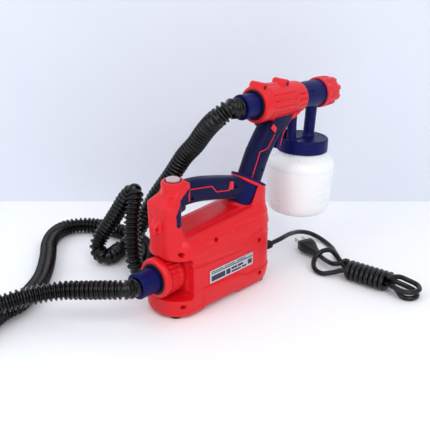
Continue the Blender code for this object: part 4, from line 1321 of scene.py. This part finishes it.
HOSE_ROUTE = (
    (40, 1, 248.6), (30.5, 10.2, 238.5), (30.2, 25, 225.5), (33.4, 42.1, 208.9), (35.6, 60.3, 188.5),
    (36, 83, 166), (31, 105, 133), (20, 128, 97), (11, 141, 67), (4, 153, 40), (-6, 163, 21),
    (-18, 168.9, 12.9),
    (-39.8, 160.8, 12.9), (-51.8, 164, 14), (-51.2, 178.1, 19.1), (-46.1, 182.3, 31.1), (-38.5, 178.3, 44.8),
    (-32.5, 168.9, 60.9), (-26.5, 157.3, 81.4), (-20.1, 146.5, 102.1), (-15.2, 134.6, 114.2),
    (-19.9, 125.5, 107),
    (-30.6, 119, 87.3), (-39, 111.5, 64.4), (-42.9, 106.5, 44), (-46, 101, 27), (-42, 98, 15),
    (-26, 103, 12.9),
    (-5, 120, 12.9), (14, 145, 12.9), (22, 172, 12.9), (25, 200, 12.9), (20, 228, 12.9), (12, 257, 12.9),
    (-6, 282, 12.9), (-30, 291, 12.9), (-56, 283, 12.9), (-82, 260, 12.9), (-106.7, 226.8, 12.9),
    (-132.9, 194.6, 12.9), (-157.7, 169.5, 12.9), (-185.1, 150, 12.9), (-213.7, 134.3, 12.9),
    (-242.3, 129.4, 12.9), (-306, 104, 12.9), (-350, 124, 12.9), (-375, 166, 12.9), (-366, 211, 12.9),
    (-331, 229, 15), (-297, 212, 18), (-281, 174, 24), (-274, 137, 32), (-259, 106, 41), (-235, 93, 45.5),
    (-210, 84, 46), (-186.8, 68.4, 47.5), (-169.3, 44.1, 50.4), (-156.3, 20.4, 54.8), (-144.3, 3.4, 56.7),
)


@dataclass
class AirHose:
    """The corrugated hose between the gun's cuff and the base's."""

    radius: float = 12.3
    root: float = 8.8
    pitch: float = 6.6
    profile: Sequence[float] = (0.0, 0.05, 0.5, 0.92, 1.0, 0.92, 0.5, 0.05)

    def line(self) -> list[Vector]:
        """The middle line, with straight ends inside the cuffs' mouths.

        Returns:
            The points, from the gun to the base.
        """
        back = Matrix.Rotation(NOSE_DOWN, 3, "Y") @ Vector((-1, 0, 0))
        gun_end = Vector(GUN_SPOT) + back * 26.3
        base_end = Vector((CUFF_END - 0.3, 0, DUCT_Z))
        route = [tuple(gun_end), tuple(gun_end + back * 8)] + list(HOSE_ROUTE)
        route += [tuple(base_end - Vector((8, 0, 0))), tuple(base_end)]
        return smooth_line(route, self.pitch / len(self.profile))

    def build(self) -> None:
        """Builds the hose in the world's frame, in place of the CAD hose."""
        line = self.line()

        def section(i: int, a: float) -> tuple[float, float]:
            """The corrugation at a ring."""
            r = self.root + (self.radius - self.root) * self.profile[i % len(self.profile)]
            r *= 1 + 0.1 * ramp(-i, -330, -200)
            return r * math.cos(a), r * math.sin(a)

        hose = sleeve("air_hose_corrugated", line, section, UNIT, 28, Vector((0, 0, 1)))
        hose.data.materials.append(HOSE.material())
        hose.data.shade_smooth()
        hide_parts("air_hose")
        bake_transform(hose)
        LOG.info("air hose %.0f mm", line_length(line))


# ---- Spray gun ----

GRIP_PATH = ((45, -24), (34.9, -38), (15.5, -66), (-0.7, -101.2), (-22.3, -141.8))
GUN_SCREWS = ((8, 24), (54, 23.5))
SWING = ((63, -24), (48.2, -37.8), (36.8, -57.2), (36.4, -66), (44, -72), (80, -60), (80, -24))


@dataclass
class GunBody:
    """The red barrel shells with the navy grip halves."""

    length: float = 92.0
    grip_a: float = 16.3
    grip_b: float = 15.0
    trim: Points = ((30.8, -41.4), (17.9, -58.8), (4.7, -62.5), (-9.4, -96.3), (-10.6, -101))
    fork: Points = ((26.5, -26.5), (33.2, -33.0), (31.4, -40.4), (20.8, -31.6))

    def flute(self, spot: Vector) -> float:
        """The lengthwise flutes on the sides and the notches at the front of the barrel.

        Args:
            spot: The spot, in the gun's frame.

        Returns:
            The move along the normal, in millimetres.
        """
        angle = math.degrees(math.atan2(spot.z, abs(spot.y)))
        radial = math.hypot(spot.y, spot.z)
        if radial < 18.5:
            return 0.0
        deep = sum(hump(angle - level, 4.2) for level in (34, 14, -6, -26))
        run = ramp(spot.x, 17, 20) * ramp(-spot.x, -66, -63)
        notch = sum(hump(angle - level, 5.5) for level in (24, 4, -16))
        front = ramp(spot.x, 69, 71) * ramp(-spot.x, -89, -87)
        rear = hump(spot.x - 15.5, 2.0)
        return -1.5 * deep * run - 2.1 * notch * front - 1.0 * rear

    def build(self) -> None:
        """Builds the shells and the grips."""
        barrel = turned("barrel", ((0, 0), (22.8, 0), (24.6, 1.2), (25, 3), (25, 13), (24.5, 16), (24.3, 40),
                                   (23.6, 66), (22.8, 84), (21.9, 90.5), (20.6, self.length),
                                   (0, self.length)),
                        GUN @ along_x(0))
        bosses = [turned("boss", ((0, -11.5), (5.6, -11.5), (5.6, 11.5), (0, 11.5)),
                         GUN @ along_y(x, 0, z + 0.6), 40)
                  for x, z in GUN_SCREWS]
        ridge = slab("ridge", ((4, 20), (4, 26), (20, 25.8), (62, 25), (66, 20)), -5, 5, GUN)
        neck = slab("neck", ((18, -14), (26, -22), (30, -27), (60, -27), (72, -26), (84, -20), (86, -14)),
                    -14.5, 14.5,
                    GUN)
        core = sleeve("core", smooth_line([(x, 0, z) for x, z in GRIP_PATH[:-1]] + [(-17.6, 0, -133)], 6),
                      squarish(10.5, 9.5, 2.3), GUN)
        outer = skin("gun_outer", [barrel, *bosses, ridge, neck, core], [], 0.95, 3)
        swell_out(outer, GUN, self.flute)
        screws = [turned("sink", ((0, -20), (2.8, -20), (2.8, -8), (1.5, -8), (1.5, 7), (0, 7)),
                         GUN @ along_y(x, 0, z), 32) for x, z in GUN_SCREWS]
        carve(outer, [
            turned("bore", ((0, -1), (17.3, -1), (17.3, 13), (16, 13), (16, 62), (19.3, 62), (19.3, 96),
                            (0, 96)),
                   GUN @ along_x(0)),
            sleeve("hollow", smooth_line([(x, 0, z) for x, z in GRIP_PATH[1:-1]] + [(-13, 0, -124)], 6),
                   squarish(8, 7, 2.2), GUN),
            block("trigger", (63, -8.2, -40), (98, 8.2, -15.5), GUN), slab("swing", SWING, -7.6, 7.6, GUN),
            *screws])
        for side, name in ((Side.FRONT, "left"), (Side.BACK, "right")):
            finish_piece(half_of(outer, f"gun_shell_{name}_moulded", side, GUN), RED, "gun",
                         [f"gun_shell_{name}"],
                         50)
        bpy.data.objects.remove(outer)
        self.build_grip()
        seal = turned("gun_inlet_seal", ((17.25, 0.2), (18.4, 0), (20.4, 0), (20.6, -0.9), (19.4, -1.5),
                                         (17.7, -1.3)), GUN @ along_x(0))
        finish_piece(seal, RUBBER, "gun")
        cuff(GUN @ along_x(-26), "gun_hose_cuff", "gun_cuff", 38.6, 17.0)

    def build_grip(self) -> None:
        """Builds the grip halves with their trim and inlay."""
        line = smooth_line([(x, 0, z) for x, z in GRIP_PATH], 2.5)
        grip = sleeve("grip", line, squarish(self.grip_a, self.grip_b, 2.6), GUN, 60)
        wing = slab("wing", ((22, -27), (30, -19), (68, -14.5), (70, -17), (58, -32), (48, -42), (30, -42)),
                    -15.2,
                    15.2, GUN)
        carve(grip, [wing], "UNION")
        inner = sleeve("inner", smooth_line([(60, 0, -3)] + [(x, 0, z) for x, z in GRIP_PATH[1:-1]]
                                            + [(-17.8, 0, -133.4)], 6), squarish(10.9, 9.9, 2.3), GUN)
        barrel = turned("barrel", ((0, -20), (24.2, -20), (24.2, 120), (0, 120)), GUN @ along_x(0))
        neck = slab("neck", ((17, 0), (17, -14), (25.5, -22.5), (29.5, -27.5), (60, -27.5), (72, -26.5),
                             (90, -20),
                             (90, 0)), -14.8, 14.8, GUN)
        hole = turned("hole", ((0, -20), (2.2, -20), (2.2, -9), (0, -9)), GUN @ along_y(8.2, 0, -88), 32)
        carve(grip, [inner, barrel, neck, slab("swing", SWING, -7.6, 7.6, GUN), hole])
        for side, name in ((Side.FRONT, "left"), (Side.BACK, "right")):
            finish_piece(soften(half_of(grip, f"grip_cover_{name}_soft", side, GUN), 0.4, 2, 50), NAVY_GRIP,
                         "gun",
                         [f"grip_cover_{name}"])
            y = side.value * (self.grip_b - 0.1)
            ribbon = surface_line(self.trim, line, (self.grip_a, self.grip_b, 2.6), side)
            strip = sleeve(f"strip_{name}", ribbon, squarish(0.75, 0.55, 3.0), GUN, 12, Vector((0, 1, 0)))
            stone = soften(slab(f"stone_{name}", self.fork, min(y, y + side.value * 0.7),
                                max(y, y + side.value * 0.7), GUN), 0.35)
            finish_piece(merge(f"grip_trim_{name}", [strip, stone]), RED, "gun")
        bpy.data.objects.remove(grip)


@dataclass
class Trigger:
    """The trigger with its red face."""

    x: float = 73.0
    z: float = -27.0

    def build(self) -> None:
        """Builds the lever and the face on its front."""
        x, z = self.x, self.z
        side = ((x + 4, z + 6.2), (x - 3, z + 6.2), (x - 6.5, z + 3), (x - 8, z - 2), (x - 14, z - 8.5),
                (x - 20.5, z - 16),
                (x - 25.5, z - 26), (x - 28.5, z - 36), (x - 27.5, z - 39), (x - 24, z - 40),
                (x - 20.4, z - 37),
                (x - 17.5, z - 27), (x - 13, z - 16.4), (x - 6.5, z - 8), (x + 1, z - 1))
        lever = slab("trigger_lever", side, -7, 7, GUN)
        carve(lever, [turned("pin", ((0, -10), (1.9, -10), (1.9, 10), (0, 10)), GUN @ along_y(x, 0, z + 3),
                             32)])
        finish_piece(soften(lever, 0.9, 3, 30), NAVY, "trigger", ["trigger"])
        face = ((x + 4, z + 2), (x + 1.4, z - 0.8), (x - 6.2, z - 8), (x - 12.7, z - 16.5),
                (x - 17.2, z - 27),
                (x - 20.1, z - 37.2), (x - 17.6, z - 38), (x - 14.4, z - 27.5), (x - 10.2, z - 17.8),
                (x - 4, z - 9.5),
                (x + 3.6, z - 2))
        finish_piece(soften(slab("trigger_face_moulded", face, -6.4, 6.4, GUN), 0.6, 3, 30), RED, "trigger",
                     ["trigger_face"])


@dataclass
class SprayHead:
    """The navy front barrel with its two columns and the jar's lid, in one moulding."""

    barrel_r: float = 19.0
    lid_x: float = 113.0
    lid_r: float = 37.0
    lid_top: float = -62.0
    lid_low: float = -81.0

    def build(self) -> None:
        """Builds the head, the valve and the vent tube."""
        r, top, low = self.lid_r, self.lid_top, self.lid_low
        axis = GUN @ Matrix.Translation((self.lid_x, 0, 0))
        barrel = turned("barrel", ((0, 62.6), (self.barrel_r, 62.6), (self.barrel_r, 150), (18.4, 152),
                                   (18.4, 164),
                                   (0, 164)), GUN @ along_x(0))
        lid = turned("lid", ((0, top), (r - 4.2, top), (r - 3.8, top + 0.9), (r - 1.6, top + 0.9),
                             (r - 0.2, top - 0.4),
                             (r, top - 2), (r + 0.2, low + 1), (r, low), (0, low)), axis)
        rear = loft("rear", [rounded(79, 94.5, 8, 7, -63.5), rounded(80, 93, 7, 6.5, -56),
                             rounded(79, 91.5, 7, 6.2, -40),
                             rounded(78.5, 91, 7, 6.2, -14)], GUN)
        front = loft("front", [rounded(115.5, 136, 9.5, 8, -63.5), rounded(118, 134, 8, 7.5, -56),
                               rounded(119.2, 135, 8, 7.5, -36), rounded(120, 136, 8.4, 7.5, -12)], GUN)
        web = slab("web", ((95, -60), (95, -64), (117, -64), (117, -60), (106, -61.2)), -4, 4, GUN)
        head = skin("spray_head_moulded", [barrel, lid, rear, front, web], [], 0.95, 5)
        carve(head, [
            turned("bore", ((0, 60), (16.4, 60), (16.4, 104), (0, 104)), GUN @ along_x(0)),
            turned("ring", ((7, 104), (16.4, 104), (16.4, 170), (7, 170)), GUN @ along_x(0)),
            turned("needle", ((0, 100), (2.4, 100), (2.4, 170), (0, 170)), GUN @ along_x(0), 32),
            turned("skirt", ((0, low - 5), (r - 2.8, low - 5), (r - 2.8, top - 3), (0, top - 3)), axis),
            turned("paint", ((0, -76), (2.5, -76), (2.5, 0), (0, 0)), GUN @ Matrix.Translation((128, 0, 0)),
                   32),
            turned("valve", ((0, -70), (2, -70), (2, -56), (0, -56)), GUN @ Matrix.Translation((88, 17, 0)),
                   32),
            block("catch", (103.5, -24, 7.5), (107.5, -15, 9.5), GUN),
        ])
        finish_piece(head, NAVY, "gun", ["spray_head"], 50)
        valve = ((0, -61.7), (6.2, -61.7), (6.2, -60), (5.4, -59.4), (5.4, -53), (6, -52.4), (6, -50.6),
                 (4.2, -49.4),
                 (0, -49))
        finish_piece(turned("check_valve_capped", valve, GUN @ Matrix.Translation((88, 17, 0)), 48), NAVY,
                     "gun",
                     ["check_valve"])
        vent = smooth_line([(88, 17, -48.9), (88, 17, -41), (87, 15.5, -33), (85, 12.5, -25),
                            (84, 11.5, -21)], 1.5)
        finish_piece(sleeve("vent_hose_clear", vent, squarish(2.2, 2.2, 2.0), GUN, 20), VINYL, "gun",
                     ["vent_hose"])


@dataclass
class Nozzle:
    """The air-cap ring, the air cap and the fluid nozzle."""

    back: float = 137.0
    lugs: int = 8

    def tooth(self, a: float, z: float) -> float:
        """The finger lugs round the ring, which grow towards the front."""
        wave = math.cos(self.lugs * a + math.pi)
        return (2.6 * ramp(wave, 0.0, 0.35) - 1.9) * ramp(z, 5, 9) if z < 33.9 else 0.0

    def build(self) -> None:
        """Builds the three pieces."""
        outer = [(19.4, 0.3), (21, 0), (21.8, 0.6), (22, 1.6), (22, 4), (21.6, 5), (21.8, 7)]
        outer += [(21.6 - 0.05 * (z - 7), z) for z in (9, 12, 15, 18, 21, 24)]
        outer += [(20.4, 27), (19.8, 30), (19.2, 32.4), (18.4, 33.7), (16, 34), (15, 33.8)]
        inner = [(15, 29.6), (19.3, 27.5)]
        finish_piece(turned("air_cap_ring_lugged", outer + inner, GUN @ along_x(self.back), 240, self.tooth),
                     RED,
                     "cap_ring", ["air_cap_ring"], 50)
        cap = turned("air_cap_horned", ((3.6, 0), (14.5, 0), (14.5, 4.4), (13.6, 5.2), (10.5, 6.6),
                                        (6.5, 7.6),
                                        (3.6, 7.8)), GUN @ along_x(165))
        outlines = (((169, 7.4), (177.3, 8.6), (177.5, 11), (174, 12.4), (169, 12.4)),
                    ((169, -7.4), (174, -7.4), (177.5, -8.8), (177.3, -11.2), (169, -12.4)))
        horns = [slab("horn", outline, -3.2, 3.2, GUN) for outline in outlines]
        finish_piece(soften(carve(cap, horns, "UNION"), 0.4, 2, 40), RED, "air_cap", ["air_cap"])
        tip = ((2, 0), (8, 0), (8, 5), (3.3, 8), (3.2, 12), (3.3, 20), (2.6, 25.6), (1.9, 26.6), (1.7, 26.2),
               (1.7, 22), (2, 20))
        finish_piece(turned("fluid_nozzle_turned", tip, GUN @ along_x(156.4), 64), BLACK, "gun",
                     ["fluid_nozzle"])


@dataclass
class PaintJar:
    """The milky blown jar, screwed into the lid."""

    x: float = 113.0
    neck: float = 33.9
    radius: float = 50.0
    low: float = -173.0
    wall: float = 1.6

    def build(self) -> None:
        """Builds the jar with its neck, shoulder step and raised base."""
        n, r, low, w = self.neck, self.radius, self.low, self.wall
        outer = [(n, -67.5), (n, -83), (n + 0.6, -84.4), (n + 3.5, -86.2), (40.5, -88.4), (44.5, -91),
                 (47.6, -94.6),
                 (49.3, -98.8), (r - 0.1, -103.5), (r - 0.5, -105), (r - 0.9, -106), (r - 0.7, -107.2),
                 (r - 1.4, -120), (r - 2.6, -138), (r - 4.0, low + 15), (r - 4.8, low + 8.5),
                 (r - 6.8, low + 4),
                 (r - 9.6, low + 1.4), (r - 13, low), (r - 18, low + 0.2), (r - 22, low + 2.4), (0, low + 3)]
        inner = [(0, low + 3 + w), (r - 22.6, low + 2.4 + w), (r - 18, low + w + 0.4), (r - 13.6, low + w),
                 (r - 10.6, low + 1.4 + w), (r - 8.2, low + 5), (r - 4.8 - w, low + 9.2),
                 (r - 4.0 - w, low + 15),
                 (r - 2.6 - w, -138), (r - 1.4 - w, -120), (r - 0.7 - w, -107.2), (r - w, -103.2),
                 (49.0 - w, -99), (47.2 - w, -95.4), (44, -92.4), (40, -89.9), (n + 2.4, -87.6), (n - w, -85),
                 (n - w, -67.5)]
        finish_piece(turned("paint_jar_blown", outer + inner, GUN @ Matrix.Translation((self.x, 0, 0)), 128),
                     JAR,
                     "jar", ["paint_jar"], 60)


# ---- Stage ----

@dataclass
class Studio:
    """The pale floor and wall, soft lights and the camera."""

    spot: tuple[float, float, float] = (-643.5, -648.7, 505.5)
    heading: float = 44.625
    down: float = 23.206
    lens: float = 63.11
    wall_away: float = 1240.0
    centre: tuple[float, float, float] = (-0.02, 0.02, 0.1)
    sky_strength: float = 0.72
    lamps: Sequence[tuple[str, tuple[float, float, float], float, float, str]] = (
        ("key", (0.9, 0.9, 1.9), 0.9, 36.0, "#FFFDF8"),
        ("fill", (-0.6, -1.6, 1.6), 1.6, 22.0, "#FFFFFF"),
        ("side", (-1.5, 0.3, 1.1), 1.2, 9.0, "#F6F9FF"),
    )  # name, place from the centre in metres, size, power and tint

    def sheet(self, name: str, corners: Points, finish: Finish) -> None:
        """A flat stage sheet through four corners in metres.

        Args:
            name: The object's name.
            corners: The corners.
            finish: Its finish.
        """
        mesh = bpy.data.meshes.new(name)
        mesh.from_pydata([Vector(c) for c in corners], [], [(0, 1, 2, 3)])
        mesh.materials.append(finish.material())
        made = bpy.data.objects.new(name, mesh)
        bpy.context.collection.objects.link(made)

    def light(self, name: str, spot: Vector, aim: Vector, size: float, power: float, tint: str) -> None:
        """A square area light.

        Args:
            name: The light's name.
            spot: Where it stands, in metres.
            aim: The spot that it looks at.
            size: Its side, in metres.
            power: Its power, in watts.
            tint: Its colour.
        """
        lamp = bpy.data.lights.new(name, "AREA")
        lamp.shape, lamp.size, lamp.energy = "SQUARE", size, power
        lamp.color = linear(tint)[:3]
        made = bpy.data.objects.new(name, lamp)
        made.location = spot
        made.rotation_euler = (Vector(aim) - Vector(spot)).to_track_quat("-Z", "Y").to_euler()
        bpy.context.collection.objects.link(made)

    def build(self) -> None:
        """Builds the stage."""
        turn = math.radians(self.heading)
        ahead, right = Vector((math.cos(turn), math.sin(turn), 0)), Vector((math.sin(turn), -math.cos(turn),
                                                                            0))
        eye = UNIT @ Vector(self.spot) * MM
        ground = Vector((eye.x, eye.y, 0))
        far = ground + ahead * self.wall_away * MM
        near = ground - ahead * 3.0
        self.sheet("floor", (near - right * 5, near + right * 5, far + right * 5, far - right * 5), FLOOR)
        up = Vector((0, 0, 3.5))
        self.sheet("wall", (far - right * 5, far + right * 5, far + right * 5 + up, far - right * 5 + up),
                   WALL)
        centre = Vector(self.centre)
        for name, offset, size, power, tint in self.lamps:
            self.light(name, centre + Vector(offset), centre, size, power, tint)
        world = bpy.data.worlds.new("studio")
        world.use_nodes = True
        sky = world.node_tree.nodes["Background"]
        sky.inputs["Color"].default_value = linear("#F3F6FC")
        sky.inputs["Strength"].default_value = self.sky_strength
        bpy.context.scene.world = world
        bpy.context.scene.view_settings.view_transform = "Standard"
        view = bpy.data.cameras.new("camera")
        view.lens, view.sensor_width = self.lens, 36.0
        camera = bpy.data.objects.new("camera", view)
        camera.location = eye
        camera.rotation_euler = (math.radians(90 - self.down), 0, turn - math.pi / 2)
        bpy.context.collection.objects.link(camera)
        bpy.context.scene.camera = camera


def dress_cad(nodes: dict[str, bpy.types.Object]) -> None:
    """Gives the CAD nodes that stay their finishes.

    Args:
        nodes: The CAD objects by node name.
    """
    for name, finish in CAD_FINISHES.items():
        for place in nodes[name].material_slots:
            place.link = "OBJECT"
            place.material = finish.material()
        LOG.info("%s stays as the CAD has it", name)


def main() -> None:
    """Builds the whole part in order, camera and cords first."""
    logging.basicConfig(level=logging.INFO, format="%(message)s")
    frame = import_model()
    Studio().build()
    AirHose().build()
    MainsLead().build()
    for assembly in (BaseUnit(), Handle(), Holster(), HoseOutlet(), PushButton(), RatingPlate(), GunBody(),
                     Trigger(),
                     SprayHead(), Nozzle(), PaintJar()):
        LOG.info("-- %s", type(assembly).__name__)
        assembly.build()
    dress_cad(frame["nodes"])
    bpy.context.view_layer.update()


if __name__ == "__main__":
    main()
